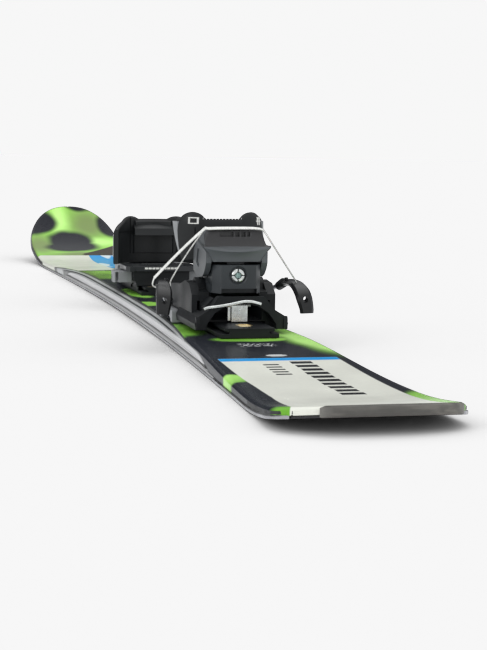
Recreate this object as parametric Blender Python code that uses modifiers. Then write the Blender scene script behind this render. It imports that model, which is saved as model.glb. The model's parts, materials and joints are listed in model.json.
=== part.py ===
"""A junior all-mountain ski, 1.29 m long, with its step-in binding, brake and retaining band.

Frame: +Y towards the ski's tip, +X to the skier's right, +Z up. The origin is at half the ski's
length, on the surface that the base rests on. Lengths are in metres.
"""

from math import cos, pi, radians, sin

import bmesh
import bpy
from mathutils import Matrix, Vector

# Ski outline
SKI_LENGTH = 1.290
TAIL_END, TIP_END = -SKI_LENGTH / 2, SKI_LENGTH / 2
TAIL_WIDTH, WAIST_WIDTH, TIP_WIDTH = 0.1087, 0.0795, 0.1120
WAIST_Y = -0.053
TAIL_ROUND, TIP_ROUND = 0.0374, 0.0937  # length of each rounded end
TAIL_POWER, TIP_POWER = 2.64, 2.35  # superellipse powers of the ends
TAIL_WIDE, TIP_WIDE = TAIL_END + TAIL_ROUND, TIP_END - TIP_ROUND

# Ski side profile
CAMBER = 0.0012
TAIL_FLAT, TIP_FLAT = (-0.548, -0.518), (0.424, 0.454)  # where the base lies on the snow
TAIL_RISE, TIP_RISE = 0.0098, 0.0625
TIP_RISE_POWER = 2.13
PLATEAU = (-0.345, 0.170)  # level stretch under the binding
PLATEAU_TOP = 0.0139
CONTACT_THICK, TAIL_THICK, TIP_THICK = 0.0073, 0.0060, 0.0055

# Layers of the ski, from the base up
GAP = 0.0003
BASE_THICK = 0.0012
EDGE_WIDTH, EDGE_HEIGHT = 0.0020, 0.0014
LOWER_LAMINATE = (0.0017, 0.0022)
FILL_BOTTOM = 0.0025
FILL_BELOW_TOP = 0.0021
UPPER_LAMINATE = (0.0018, 0.0013)  # below the top
TOPSHEET_THICK = 0.0010
SIDEWALL_INSET, SIDEWALL_WIDTH = 0.0008, 0.0058
CORE_ENDS = (-0.560, 0.475)
PROTECTOR_LENGTH = 0.0125

# Binding tracks and screws
TRACK_BOTTOM = PLATEAU_TOP + GAP
TRACK_PLATE_HALF, TRACK_NECK_HALF, TRACK_FLANGE_HALF = 0.0206, 0.0140, 0.0175
TRACK_PLATE_TOP, TRACK_NECK_TOP, TRACK_TOP = (TRACK_BOTTOM + h for h in (0.0030, 0.0046, 0.0068))
FLANGE_SLOPE = 0.0002
HEEL_TRACK = (-0.358, -0.190)
TOE_TRACK = (-0.045, 0.095)
HEEL_SCREWS = ((0.0, -0.340), (-0.010, -0.200), (0.010, -0.200))
TOE_SCREWS = ((-0.010, -0.036), (0.010, -0.036), (-0.010, 0.086), (0.010, 0.086))
SCREW_HEAD_RADIUS, SCREW_RADIUS, SCREW_TIP = 0.0046, 0.0024, 0.0060
SCREW_HEAD_HEIGHT, SCREW_HEAD_RIM, SCREW_POINT = 0.0024, 0.0006, 0.0020
SCREW_SUNK = 0.0002  # how far a head lies below the track's top
POCKET_DEPTH, HOLE_BELOW_TIP = 0.0030, 0.0008

# Axes of the moving parts
HEEL_PIVOT = Vector((0, -0.290, 0.044))
LOCK_PIVOT = Vector((0, -0.3232, 0.0330))
LEVER_PIVOT = Vector((0, -0.308, 0.0665))
BRAKE_PIVOT = Vector((0, -0.236, 0.028))
TOE_PIVOT = Vector((0, 0.040, 0.038))
HEEL_SPRING_Z = 0.054
TOE_SPRING_Z = 0.058

# Heel piece
HOUSING_HALF = 0.0178
HOUSING_REAR, HOUSING_FRONT = -0.321, -0.275
CHEEK_OUTER, CHEEK_INNER = 0.0250, 0.0182
BASE_FOOT_HALF = 0.0340
CUP_CENTRE_Y, CUP_OUTER, CUP_INNER = -0.246, 0.0345, 0.0290

# Toe piece
TOE_CUP_CENTRE_Y, TOE_CUP_INNER, TOE_CUP_OUTER = -0.0165, 0.0365, 0.0410
TOE_FRONT = 0.0735

# Shared sizes of the release springs, screws and pins
SPRING_BORE, HEAD_BORE, POST_BORE = 0.0046, 0.0054, 0.0053
SPRING_RADIUS, SPRING_WIRE = 0.0034, 0.0006
PISTON_RADIUS, NUT_BORE = 0.0042, 0.0023
PIVOT_PIN, PIVOT_BORE = 0.0030, 0.0033
LEVER_PIN, LEVER_BORE = 0.0015, 0.0018
BRAKE_WIRE, BRAKE_BORE = 0.0024, 0.0029

BODY_SIDES, PIN_SIDES, BORE_SIDES, SMALL_SIDES = 20, 16, 12, 10


def remove_old_objects():
    for old in list(bpy.data.objects):
        bpy.data.objects.remove(old, do_unlink=True)


def new_collection(name):
    collection = bpy.data.collections.new(name)
    bpy.context.scene.collection.children.link(collection)
    return collection


def new_material(name, colour, roughness, metallic=0.0):
    material = bpy.data.materials.new(name)
    material.use_nodes = True
    shader = material.node_tree.nodes["Principled BSDF"]
    shader.inputs["Base Color"].default_value = (*colour, 1.0)
    shader.inputs["Roughness"].default_value = roughness
    shader.inputs["Metallic"].default_value = metallic
    return material


remove_old_objects()
PARTS = new_collection("junior_ski_with_binding")
CUTTERS = new_collection("cutters")

BLACK = (0.020, 0.022, 0.025)
GREY = (0.32, 0.33, 0.35)
COLOURS = {
    "base_black": ((0.015, 0.015, 0.017), 0.35, 0.0),
    "edge_steel": ((0.62, 0.63, 0.65), 0.25, 1.0),
    "laminate": ((0.55, 0.52, 0.38), 0.40, 0.0),
    "wood": ((0.55, 0.38, 0.20), 0.60, 0.0),
    "sidewall_grey": (GREY, 0.45, 0.0),
    "spacer_black": (BLACK, 0.50, 0.0),
    "topsheet_print": ((0.35, 0.75, 0.15), 0.15, 0.0),
    "protector_grey": ((0.10, 0.097, 0.088), 0.50, 0.0),
    "moulded_black": (BLACK, 0.40, 0.0),
    "moulded_grey": (GREY, 0.50, 0.0),
    "lever_grey": ((0.075, 0.085, 0.092), 0.40, 0.0),
    "zinc": ((0.72, 0.74, 0.72), 0.30, 1.0),
    "gold_zinc": ((0.66, 0.57, 0.36), 0.35, 1.0),
    "spring_steel": ((0.50, 0.51, 0.53), 0.30, 1.0),
    "low_friction": ((0.03, 0.03, 0.032), 0.30, 0.0),
    "band_white": ((0.85, 0.85, 0.83), 0.45, 0.0),
}
MATERIALS = {name: new_material(name, *values) for name, values in COLOURS.items()}


def add_mesh(name, mesh, material=None):
    """An object in the parts, or in the cutters where it has no material."""
    made = bpy.data.objects.new(name, mesh)
    if material is None:
        CUTTERS.objects.link(made)
        made.hide_render = True
        made.display_type = "WIRE"
    else:
        PARTS.objects.link(made)
        mesh.materials.append(MATERIALS[material])
        mesh.shade_smooth()
        mesh.set_sharp_from_angle(angle=SHARP_ANGLE)
    return made


def mesh_from(bm, name):
    bmesh.ops.recalc_face_normals(bm, faces=bm.faces)
    mesh = bpy.data.meshes.new(name)
    bm.to_mesh(mesh)
    bm.free()
    return mesh


def box(name, low, high, material=None):
    bm = bmesh.new()
    size = [h - l for l, h in zip(low, high)]
    centre = Vector([(l + h) / 2 for l, h in zip(low, high)])
    bmesh.ops.create_cube(bm, size=1.0, matrix=Matrix.Translation(centre) @ Matrix.Diagonal((*size, 1)))
    return add_mesh(name, mesh_from(bm, name), material)


def cylinder(name, start, end, radius, material=None, sides=BODY_SIDES):
    start, end = Vector(start), Vector(end)
    along = end - start
    place = Matrix.Translation((start + end) / 2) @ along.to_track_quat("Z", "Y").to_matrix().to_4x4()
    bm = bmesh.new()
    bmesh.ops.create_cone(bm, cap_ends=True, segments=sides, radius1=radius, radius2=radius,
                          depth=along.length, matrix=place)
    return add_mesh(name, mesh_from(bm, name), material)


PLANES = {
    "XY": Matrix.Identity(4),
    "YZ": Matrix(((0, 0, 1, 0), (1, 0, 0, 0), (0, 1, 0, 0), (0, 0, 0, 1))),
    "XZ": Matrix(((1, 0, 0, 0), (0, 0, -1, 0), (0, 1, 0, 0), (0, 0, 0, 1))),
}
PLANE_NORMALS = {"XY": Vector((0, 0, 1)), "YZ": Vector((1, 0, 0)), "XZ": Vector((0, 1, 0))}
SHARP_ANGLE = radians(35)
WELD_DISTANCE = 1e-6


def plate(name, outline, plane, low, high, material=None):
    """A flat outline in a plane, given thickness from low to high along the third axis."""
    curve = bpy.data.curves.new(name, "CURVE")
    curve.dimensions = "2D"
    curve.fill_mode = "BOTH"
    curve.extrude = (high - low) / 2
    spline = curve.splines.new("POLY")
    spline.points.add(len(outline) - 1)
    for point, (u, v) in zip(spline.points, outline):
        point.co = (u, v, 0, 1)
    spline.use_cyclic_u = True
    drawn = bpy.data.objects.new(name + "_outline", curve)
    bpy.context.scene.collection.objects.link(drawn)
    solid = bpy.data.meshes.new_from_object(drawn.evaluated_get(bpy.context.evaluated_depsgraph_get()))
    bpy.data.objects.remove(drawn, do_unlink=True)
    solid.transform(Matrix.Translation(PLANE_NORMALS[plane] * (low + high) / 2) @ PLANES[plane])
    bm = bmesh.new()
    bm.from_mesh(solid)
    bmesh.ops.remove_doubles(bm, verts=bm.verts, dist=WELD_DISTANCE)
    return add_mesh(name, mesh_from(bm, name), material)


def loft(name, rings, material=None, closed=False):
    """A solid skinned over rings of points; a closed loft's last ring meets its first."""
    bm = bmesh.new()
    rows = [[bm.verts.new(point) for point in ring] for ring in rings]
    count = len(rows[0])
    pairs = list(zip(rows, rows[1:])) + ([(rows[-1], rows[0])] if closed else [])
    for near, far in pairs:
        for i in range(count):
            j = (i + 1) % count
            bm.faces.new((near[i], near[j], far[j], far[i]))
    if not closed:
        bm.faces.new(rows[0][::-1])
        bm.faces.new(rows[-1])
    return add_mesh(name, mesh_from(bm, name), material)


def side_solid(name, outline, material=None):
    """A symmetric solid from a side outline of (y, z, half width) points."""
    rings = [[(side * half, y, z) for y, z, half in outline] for side in (-1, 1)]
    return loft(name, rings, material)


def tube(name, points, radius, material, resolution=2, cyclic=False):
    curve = bpy.data.curves.new(name, "CURVE")
    curve.dimensions = "3D"
    curve.bevel_depth = radius
    curve.bevel_resolution = resolution
    curve.use_fill_caps = not cyclic
    spline = curve.splines.new("POLY")
    spline.points.add(len(points) - 1)
    for point, place in zip(spline.points, points):
        point.co = (*place, 1)
    spline.use_cyclic_u = cyclic
    made = bpy.data.objects.new(name, curve)
    curve.materials.append(MATERIALS[material])
    PARTS.objects.link(made)
    return made


def turned(name, profile, start, direction, material, steps=BODY_SIDES):
    """A profile of (radius, distance) points, far end first, turned about an axis along direction."""
    bm = bmesh.new()
    verts = [bm.verts.new((radius, 0, distance)) for radius, distance in profile]
    for first, second in zip(verts, verts[1:]):
        bm.edges.new((first, second))
    mesh = bpy.data.meshes.new(name)
    bm.to_mesh(mesh)
    bm.free()
    made = add_mesh(name, mesh, material)
    made.location = start
    made.rotation_euler = Vector(direction).to_track_quat("Z", "Y").to_euler()
    screw = made.modifiers.new("turn", "SCREW")
    screw.steps = screw.render_steps = steps
    screw.use_merge_vertices = True
    screw.merge_threshold = WELD_DISTANCE * 10
    return made


def boolean(target, tool, operation):
    modifier = target.modifiers.new(tool.name, "BOOLEAN")
    modifier.operation = operation
    modifier.object = tool
    modifier.solver = "EXACT"


def cut(target, *tools):
    for tool in tools:
        boolean(target, tool, "DIFFERENCE")


def join(target, *tools):
    for tool in tools:
        boolean(target, tool, "UNION")


def axis_empty(name, place):
    """An empty on a joint's axis, which carries the pieces that move about it."""
    empty = bpy.data.objects.new(name, None)
    empty.location = place
    empty.empty_display_size = 0.02
    PARTS.objects.link(empty)
    return empty


def carry(empty, *pieces):
    for piece in pieces:
        piece.parent = empty
        piece.matrix_parent_inverse = Matrix.Translation(empty.location).inverted()


def smooth_route(points, steps):
    """Points along a Catmull-Rom curve through the given ones."""
    points = [Vector(p) for p in points]
    ends = [2 * points[0] - points[1], *points, 2 * points[-1] - points[-2]]
    route = []
    for a, b, c, d in zip(ends, ends[1:], ends[2:], ends[3:]):
        for step in range(steps):
            t = step / steps
            route.append(0.5 * (2 * b + (c - a) * t + (2 * a - 5 * b + 4 * c - d) * t ** 2
                                + (3 * b - a - 3 * c + d) * t ** 3))
    return route + [points[-1]]


# --- The ski ---


def half_width(y):
    """Half the outline's width between its two widest points."""
    wide_y, wide = (TAIL_WIDE, TAIL_WIDTH) if y < WAIST_Y else (TIP_WIDE, TIP_WIDTH)
    share = (y - WAIST_Y) / (wide_y - WAIST_Y)
    return (WAIST_WIDTH + (wide - WAIST_WIDTH) * share ** 2) / 2


def base_height(y):
    if y < TAIL_FLAT[0]:
        return TAIL_RISE * ((TAIL_FLAT[0] - y) / (TAIL_FLAT[0] - TAIL_END)) ** 2
    if y > TIP_FLAT[1]:
        return TIP_RISE * ((y - TIP_FLAT[1]) / (TIP_END - TIP_FLAT[1])) ** TIP_RISE_POWER
    if TAIL_FLAT[1] < y < TIP_FLAT[0]:
        return CAMBER * sin(pi * (y - TAIL_FLAT[1]) / (TIP_FLAT[0] - TAIL_FLAT[1])) ** 2
    return 0.0


def thickness(y):
    if y < TAIL_FLAT[0]:
        share = (TAIL_FLAT[0] - y) / (TAIL_FLAT[0] - TAIL_END)
        return CONTACT_THICK + (TAIL_THICK - CONTACT_THICK) * share
    if y > TIP_FLAT[1]:
        share = (y - TIP_FLAT[1]) / (TIP_END - TIP_FLAT[1])
        return CONTACT_THICK + (TIP_THICK - CONTACT_THICK) * share
    middle = PLATEAU_TOP - base_height(y)
    if y < PLATEAU[0]:
        share = (PLATEAU[0] - y) / (PLATEAU[0] - TAIL_FLAT[0])
    elif y > PLATEAU[1]:
        share = (y - PLATEAU[1]) / (TIP_FLAT[1] - PLATEAU[1])
    else:
        return middle
    smooth = share * share * (3 - 2 * share)
    return middle + (CONTACT_THICK - middle) * smooth


def spread(start, end, count):
    return [start + (end - start) * i / count for i in range(count)]


def mid_stations():
    zones = ((TAIL_WIDE, TAIL_FLAT[0], 3), (TAIL_FLAT[0], TAIL_FLAT[1], 1),
             (TAIL_FLAT[1], PLATEAU[0], 5), (PLATEAU[0], PLATEAU[1], 5), (PLATEAU[1], TIP_FLAT[0], 6),
             (TIP_FLAT[0], TIP_FLAT[1], 1), (TIP_FLAT[1], CORE_ENDS[1], 1), (CORE_ENDS[1], TIP_WIDE, 5))
    stations = [y for zone in zones for y in spread(*zone)]
    return stations + [TIP_WIDE]


LAST_ANGLE = 0.06  # radians short of the very end, which leaves a short straight there


def end_points(inset, towards_tip, count=8):
    """(y, half width) down one rounded end of the outline, from its widest point to its end."""
    wide_y, length, power = ((TIP_WIDE, TIP_ROUND, TIP_POWER) if towards_tip
                             else (TAIL_WIDE, -TAIL_ROUND, TAIL_POWER))
    half = half_width(wide_y) - inset
    length -= inset if towards_tip else -inset
    points = []
    for i in range(1, count + 1):
        angle = pi / 2 * (1 - i / count) + LAST_ANGLE * i / count
        points.append((wide_y + length * cos(angle) ** (2 / power), half * sin(angle) ** (2 / power)))
    return points


CLOSEST = 0.002  # a station nearer than this to an end is dropped


def outline(inset, low=TAIL_END, high=TIP_END):
    """(y, half width) stations of the ski's outline, drawn in by an inset and kept between two ends."""
    tail = end_points(inset, False)[::-1]
    middle = [(y, half_width(y) - inset) for y in mid_stations()]
    stations = tail + middle + end_points(inset, True)
    kept = [(y, half) for y, half in stations if low + CLOSEST < y < high - CLOSEST]
    for limit, place in ((low, 0), (high, len(kept))):
        if TAIL_END < limit < TIP_END:
            pair = [pair for pair in zip(stations, stations[1:]) if pair[0][0] <= limit <= pair[1][0]][0]
            (y0, half0), (y1, half1) = pair
            half = half0 + (half1 - half0) * (limit - y0) / (y1 - y0)
            kept.insert(place if place == 0 else len(kept), (limit, half))
        elif place == 0:
            kept = [(y, half) for y, half in stations if y <= low + CLOSEST] + kept
        else:
            kept += [(y, half) for y, half in stations if y >= high - CLOSEST]
    return kept


BODY_TAIL = TAIL_END + PROTECTOR_LENGTH + GAP


def layer(name, material, inset, bottom, top, low=BODY_TAIL, high=TIP_END, bevel=0.0):
    """A full-width layer; bottom and top are heights as functions of y."""
    rings = []
    for y, half in outline(inset, low, high):
        upper = max(half - bevel, half * 0.5)
        rings.append([(-half, y, bottom(y)), (half, y, bottom(y)), (upper, y, top(y)), (-upper, y, top(y))])
    return loft(name, rings, material)


def above_base(height):
    return lambda y: base_height(y) + height


def below_top(depth):
    return lambda y: base_height(y) + thickness(y) - depth


def side_strip(name, material, side, outer_inset, width, bottom, top, low, high):
    """A strip that follows one side of the outline."""
    rings = []
    for y, half in outline(outer_inset, low, high):
        inner = half - width
        rings.append([(side * inner, y, bottom(y)), (side * half, y, bottom(y)),
                      (side * half, y, top(y)), (side * inner, y, top(y))])
    return loft(name, rings, material)


EDGE_ENDS = (TAIL_WIDE - 0.012, TIP_WIDE + 0.030)
TOP_INSET = SIDEWALL_INSET + 0.0004
TOPSHEET_BEVEL, PROTECTOR_BEVEL = 0.0012, 0.0010


def build_ski():
    fill = (above_base(FILL_BOTTOM), below_top(FILL_BELOW_TOP))
    edge_heights = (above_base(0), above_base(EDGE_HEIGHT))
    layer("base_sheet", "base_black", EDGE_WIDTH + GAP, above_base(0), above_base(BASE_THICK))
    for side, word in ((-1, "left"), (1, "right")):
        side_strip(f"edge_{word}", "edge_steel", side, 0.0, EDGE_WIDTH, *edge_heights, *EDGE_ENDS)
        side_strip(f"sidewall_{word}", "sidewall_grey", side, SIDEWALL_INSET, SIDEWALL_WIDTH,
                   *fill, *CORE_ENDS)
    layer("lower_laminate", "laminate", SIDEWALL_INSET, above_base(LOWER_LAMINATE[0]),
          above_base(LOWER_LAMINATE[1]))
    core = layer("wood_core", "wood", SIDEWALL_INSET + SIDEWALL_WIDTH + GAP, *fill, *CORE_ENDS)
    layer("tail_spacer", "spacer_black", SIDEWALL_INSET, *fill, BODY_TAIL, CORE_ENDS[0] - GAP)
    layer("tip_spacer", "spacer_black", SIDEWALL_INSET, *fill, CORE_ENDS[1] + GAP, TIP_END)
    upper = layer("upper_laminate", "laminate", TOP_INSET, below_top(UPPER_LAMINATE[0]),
                  below_top(UPPER_LAMINATE[1]))
    topsheet = layer("topsheet", "topsheet_print", TOP_INSET, below_top(TOPSHEET_THICK), below_top(0),
                     bevel=TOPSHEET_BEVEL)
    layer("tail_protector", "protector_grey", 0.0, above_base(0), below_top(0), TAIL_END,
          TAIL_END + PROTECTOR_LENGTH, bevel=PROTECTOR_BEVEL)
    return core, upper, topsheet


# --- Tracks and the screws that hold them to the ski ---


def track_section():
    half = [(TRACK_PLATE_HALF, TRACK_BOTTOM), (TRACK_PLATE_HALF, TRACK_PLATE_TOP),
            (TRACK_NECK_HALF, TRACK_PLATE_TOP), (TRACK_NECK_HALF, TRACK_NECK_TOP),
            (TRACK_FLANGE_HALF, TRACK_NECK_TOP + FLANGE_SLOPE), (TRACK_FLANGE_HALF, TRACK_TOP)]
    return half + [(-x, z) for x, z in reversed(half)]


def screw_profile(head_top):
    return [(0.0, head_top), (SCREW_HEAD_RADIUS, head_top), (SCREW_HEAD_RADIUS, head_top - SCREW_HEAD_RIM),
            (SCREW_RADIUS, head_top - SCREW_HEAD_HEIGHT), (SCREW_RADIUS, SCREW_TIP + SCREW_POINT),
            (0.0, SCREW_TIP)]


def build_track(name, ends, places, ski_layers):
    track = plate(name, track_section(), "XZ", *ends, "moulded_black")
    head_top = TRACK_TOP - SCREW_SUNK
    for number, (x, y) in enumerate(places, 1):
        pocket = cylinder(f"{name}_pocket_{number}", (x, y, head_top - POCKET_DEPTH),
                          (x, y, TRACK_TOP + 0.002), SCREW_HEAD_RADIUS + GAP, sides=PIN_SIDES)
        hole = cylinder(f"{name}_hole_{number}", (x, y, SCREW_TIP - HOLE_BELOW_TIP),
                        (x, y, TRACK_TOP + 0.001), SCREW_RADIUS + GAP, sides=BORE_SIDES)
        cut(track, pocket, hole)
        for layer_above in ski_layers:
            cut(layer_above, hole)
        turned(f"{name}_screw_{number}", screw_profile(head_top), (x, y, 0), (0, 0, 1), "gold_zinc",
               PIN_SIDES)


# --- Heel carriage: slides along its track to suit the boot ---

RUN_GAP = 0.0003  # clearance of the sliding and turning fits
HEEL_WALL_REAR, HEEL_WALL_FRONT = -0.3335, -0.3250
CHANNEL_HALF = TRACK_FLANGE_HALF + RUN_GAP
CHANNEL_TOP = TRACK_TOP + RUN_GAP
HOOK_BOTTOM, HOOK_TOP = TRACK_PLATE_TOP + RUN_GAP, TRACK_NECK_TOP - RUN_GAP


def channel_cutter(name, low, high):
    """The space a carriage leaves round a track's flange and neck."""
    half = [(TRACK_NECK_HALF + RUN_GAP, TRACK_BOTTOM - 0.002), (TRACK_NECK_HALF + RUN_GAP, HOOK_TOP),
            (CHANNEL_HALF, HOOK_TOP + FLANGE_SLOPE), (CHANNEL_HALF, CHANNEL_TOP)]
    return plate(name, half + [(-x, z) for x, z in reversed(half)], "XZ", low, high)


def crosswise(name, pivot, half_length, radius, sides, material=None):
    """A cylinder along X through a pivot: a bore's cutter, or a pin."""
    ends = [(side * half_length, pivot.y, pivot.z) for side in (-1, 1)]
    return cylinder(name, *ends, radius, material, sides)


def build_heel_base():
    """The arched casting that the heel piece tilts in."""
    outline_half = [(BASE_FOOT_HALF, HOOK_BOTTOM), (BASE_FOOT_HALF, 0.0225), (0.0262, 0.0295),
                    (0.0200, 0.0345), (0.0180, 0.0405)]
    front = outline_half + [(-x, z) for x, z in reversed(outline_half)]
    base = plate("heel_base", front, "XZ", HEEL_WALL_REAR, -0.2650, "moulded_black")
    cheeks = side_solid("heel_cheeks", [(-0.3240, 0.0230, CHEEK_OUTER), (-0.3240, 0.0400, CHEEK_OUTER),
                                        (-0.2990, 0.0425, CHEEK_OUTER), (-0.2950, 0.0490, CHEEK_OUTER),
                                        (-0.2900, 0.0505, CHEEK_OUTER), (-0.2850, 0.0490, CHEEK_OUTER),
                                        (-0.2660, 0.0370, CHEEK_OUTER), (-0.2660, 0.0230, CHEEK_OUTER)])
    deck = box("heel_deck", (-0.0300, -0.2680, 0.0242), (0.0300, -0.2080, 0.0362))
    join(base, cheeks, deck)
    well = box("heel_well", (-CHEEK_INNER, HEEL_WALL_FRONT, 0.0222), (CHEEK_INNER, -0.2700, 0.0600))
    arch_half = [(0.0200, 0.0100), (0.0195, 0.0290), (0.0130, 0.0348)]
    arch = plate("heel_arch", arch_half + [(-x, z) for x, z in reversed(arch_half)], "XZ",
                 HEEL_WALL_REAR - 0.002, -0.3180)
    pedal_bay = box("pedal_bay", (-0.0172, -0.2525, 0.0256), (0.0172, -0.2000, 0.0400))
    wire_bore = crosswise("wire_bore", BRAKE_PIVOT, 0.040, BRAKE_BORE, BORE_SIDES)
    pin_bore = crosswise("pivot_bore", HEEL_PIVOT, 0.030, PIVOT_BORE, PIN_SIDES)
    cut(base, channel_cutter("heel_channel", HEEL_WALL_REAR - 0.002, -0.2600), well, arch, pedal_bay,
        wire_bore, pin_bore)
    return base


def build_brake_bracket():
    """The yoke in front of the casting, with an arched foot each side, that the brake pivots over."""
    foot = [(-0.2640, 0.0150), (-0.2580, 0.0150), (-0.2540, 0.0192), (-0.2240, 0.0192), (-0.2200, 0.0150),
            (-0.2140, 0.0150), (-0.2140, 0.0236), (-0.2640, 0.0236)]
    bracket = box("brake_bracket", (-0.0352, -0.2638, 0.0216), (0.0352, -0.2142, 0.0235), "moulded_grey")
    for side in (-1, 1):
        low, high = sorted((side * 0.0290, side * 0.0355))
        join(bracket, plate(f"bracket_foot_{side}", foot, "YZ", low, high))
    return bracket


def build_heel_carriage(empty):
    base = build_heel_base()
    bracket = build_brake_bracket()
    pin = crosswise("heel_pivot_pin", HEEL_PIVOT, 0.0245, PIVOT_PIN, PIN_SIDES, "spring_steel")
    carry(empty, base, bracket, pin, build_lock_strip())


def build_lock_strip():
    """The leaf spring across the casting's rear wall that presses the lock tongue into the track."""
    half = [(0.0215, 0.0296), (0.0150, 0.0322), (0.0090, 0.0345), (0.0030, 0.0356)]
    rear, front = -0.3350, -0.3338
    half_height = 0.0009
    rings = []
    for x, z in [(-x, z) for x, z in half] + half[::-1]:
        low, high = z - half_height, z + half_height
        rings.append([(x, rear, low), (x, front, low), (x, front, high), (x, rear, high)])
    return loft("heel_lock_spring", rings, "zinc")


def build_lock_tongue():
    """A plate that drops behind the track's teeth, hung on a short hinge bar."""
    half_thick = 0.0013
    tongue = box("heel_lock_tongue", (-0.0062, LOCK_PIVOT.y - half_thick, 0.0218),
                 (0.0062, LOCK_PIVOT.y + half_thick, LOCK_PIVOT.z), "zinc")
    join(tongue, crosswise("lock_tongue_bar", LOCK_PIVOT, 0.0085, half_thick, SMALL_SIDES))
    return tongue


# --- Heel piece: tilts back to let the boot go ---


def build_heel_housing():
    pivot_y, pivot_z = HEEL_PIVOT[1], HEEL_PIVOT[2]
    profile = [(HOUSING_REAR, 0.0425), (-0.3185, 0.0412), (-0.2970, 0.0412), (-0.2945, pivot_z - 0.0062),
               (pivot_y, pivot_z - 0.0068), (-0.2855, pivot_z - 0.0062), (HOUSING_FRONT, 0.0425),
               (HOUSING_FRONT, 0.0612), (-0.3105, 0.0612), (-0.3160, 0.0602), (HOUSING_REAR, 0.0588)]
    housing = side_solid("heel_housing", [(y, z, HOUSING_HALF) for y, z in profile], "moulded_black")
    lug = plate("lever_lug", [(-0.3125, 0.0590), (-0.3125, 0.0665), (-0.3108, 0.0697), (-0.3052, 0.0697),
                              (-0.3035, 0.0665), (-0.3035, 0.0590)], "YZ", -0.0060, 0.0060)
    join(housing, lug)
    z = HEEL_SPRING_Z
    head_bore = cylinder("heel_head_bore", (0, HOUSING_REAR - 0.002, z), (0, -0.3192, z), HEAD_BORE)
    spring_bore = cylinder("heel_spring_bore", (0, -0.3200, z), (0, -0.2785, z), SPRING_BORE)
    pin_bore = crosswise("housing_pivot_bore", HEEL_PIVOT, 0.030, PIVOT_BORE, PIN_SIDES)
    lever_bore = crosswise("lug_bore", LEVER_PIVOT, 0.030, LEVER_BORE, SMALL_SIDES)
    cut(housing, head_bore, spring_bore, pin_bore, lever_bore)
    return housing


CUP_STEPS, CUP_ROUNDING = 22, 0.0025
CUP_DEPTH, CUP_POWER = 0.76, 3.0
BUMP_PLACE, BUMP_REACH, SHOULDER_START = 0.50, 0.26, 0.62  # as shares of a cup's radius


def cup_ring(angle, centre_y, inner, outer, low, high, depth=1.0, power=2.0):
    """One upright section of a cup, at an angle about its centre. A depth below 1 makes the cup
    shallow, and a power above 2 squares its corners."""
    reach = (abs(cos(angle)) ** power + abs(sin(angle)) ** power) ** (-1 / power)
    across = Vector((cos(angle), sin(angle) * depth, 0)) * reach
    centre = Vector((0, centre_y, 0))
    shape = [(inner, low), (outer, low), (outer, high - CUP_ROUNDING), (outer - CUP_ROUNDING, high),
             (inner, high)]
    return [centre + across * radius + Vector((0, 0, z)) for radius, z in shape]


def crest(across, valley, peak, side):
    """Height along a cup's top edge: a valley in the middle, a bump each side, then lower shoulders."""
    bump = max(0.0, 1 - ((abs(across) - BUMP_PLACE) / BUMP_REACH) ** 2)
    shoulder = max(0.0, (abs(across) - SHOULDER_START) / (1 - SHOULDER_START))
    return valley + (peak - valley) * bump + (side - valley) * min(1.0, shoulder)


def cup_angles(first, last):
    return [radians(first + (last - first) * i / CUP_STEPS) for i in range(CUP_STEPS + 1)]


def build_heel_cup():
    rings = []
    for angle in cup_angles(-160, -20):
        top = crest(cos(angle), 0.0915, 0.0962, 0.0905)
        low = 0.0640 - 0.004 * abs(cos(angle))
        rings.append(cup_ring(angle, CUP_CENTRE_Y, CUP_INNER, CUP_OUTER, low, top, CUP_DEPTH, CUP_POWER))
    cup = loft("heel_cup", rings, "moulded_black")
    neck = side_solid("heel_cup_neck", [(-0.2748, 0.0425, 0.0150), (-0.2560, 0.0440, 0.0150),
                                        (-0.2560, 0.0470, 0.0150), (-0.2640, 0.0520, 0.0140),
                                        (-0.2660, 0.0800, 0.0140), (-0.2720, 0.0800, 0.0140),
                                        (-0.2748, 0.0700, 0.0150)])
    join(cup, neck)
    return cup


def build_spring(name, start_y, end_y, z, turns, points_per_turn=10):
    """A coil along Y, centred at a height z."""
    count = turns * points_per_turn
    points = []
    for i in range(count + 1):
        angle = 2 * pi * i / points_per_turn
        points.append((SPRING_RADIUS * cos(angle), start_y + (end_y - start_y) * i / count,
                       z + SPRING_RADIUS * sin(angle)))
    return tube(name, points, SPRING_WIRE, "spring_steel", resolution=1)


SLOT_LENGTH, SLOT_WIDTH, SLOT_DEPTH = 0.0062, 0.0012, 0.0012


def build_adjusting_screw(name, y, z, direction):
    """The cross-slotted release screw; direction is where its head faces along Y."""
    profile = [(0.0, 0.0), (0.0043, 0.0), (0.0048, -0.0006), (0.0048, -0.0022), (0.0020, -0.0022),
               (0.0020, -0.0180), (0.0, -0.0185)]
    screw = turned(name, profile, (0, y, z), (0, direction, 0), "zinc")
    low, high = sorted((y - direction * SLOT_DEPTH, y + direction * 0.0005))
    slots = ((SLOT_LENGTH / 2, SLOT_WIDTH / 2), (SLOT_WIDTH / 2, SLOT_LENGTH / 2))
    for number, (half_x, half_z) in enumerate(slots, 1):
        cut(screw, box(f"{name}_slot_{number}", (-half_x, low, z - half_z), (half_x, high, z + half_z)))
    return screw


def build_nut(name, low, high, z):
    """The preload nut, which rides along the adjusting screw."""
    nut = cylinder(name, (0, low, z), (0, high, z), SPRING_BORE - RUN_GAP, "gold_zinc", PIN_SIDES)
    cut(nut, cylinder(f"{name}_thread", (0, low - 0.001, z), (0, high + 0.001, z), NUT_BORE,
                      sides=BORE_SIDES))
    return nut


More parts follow.
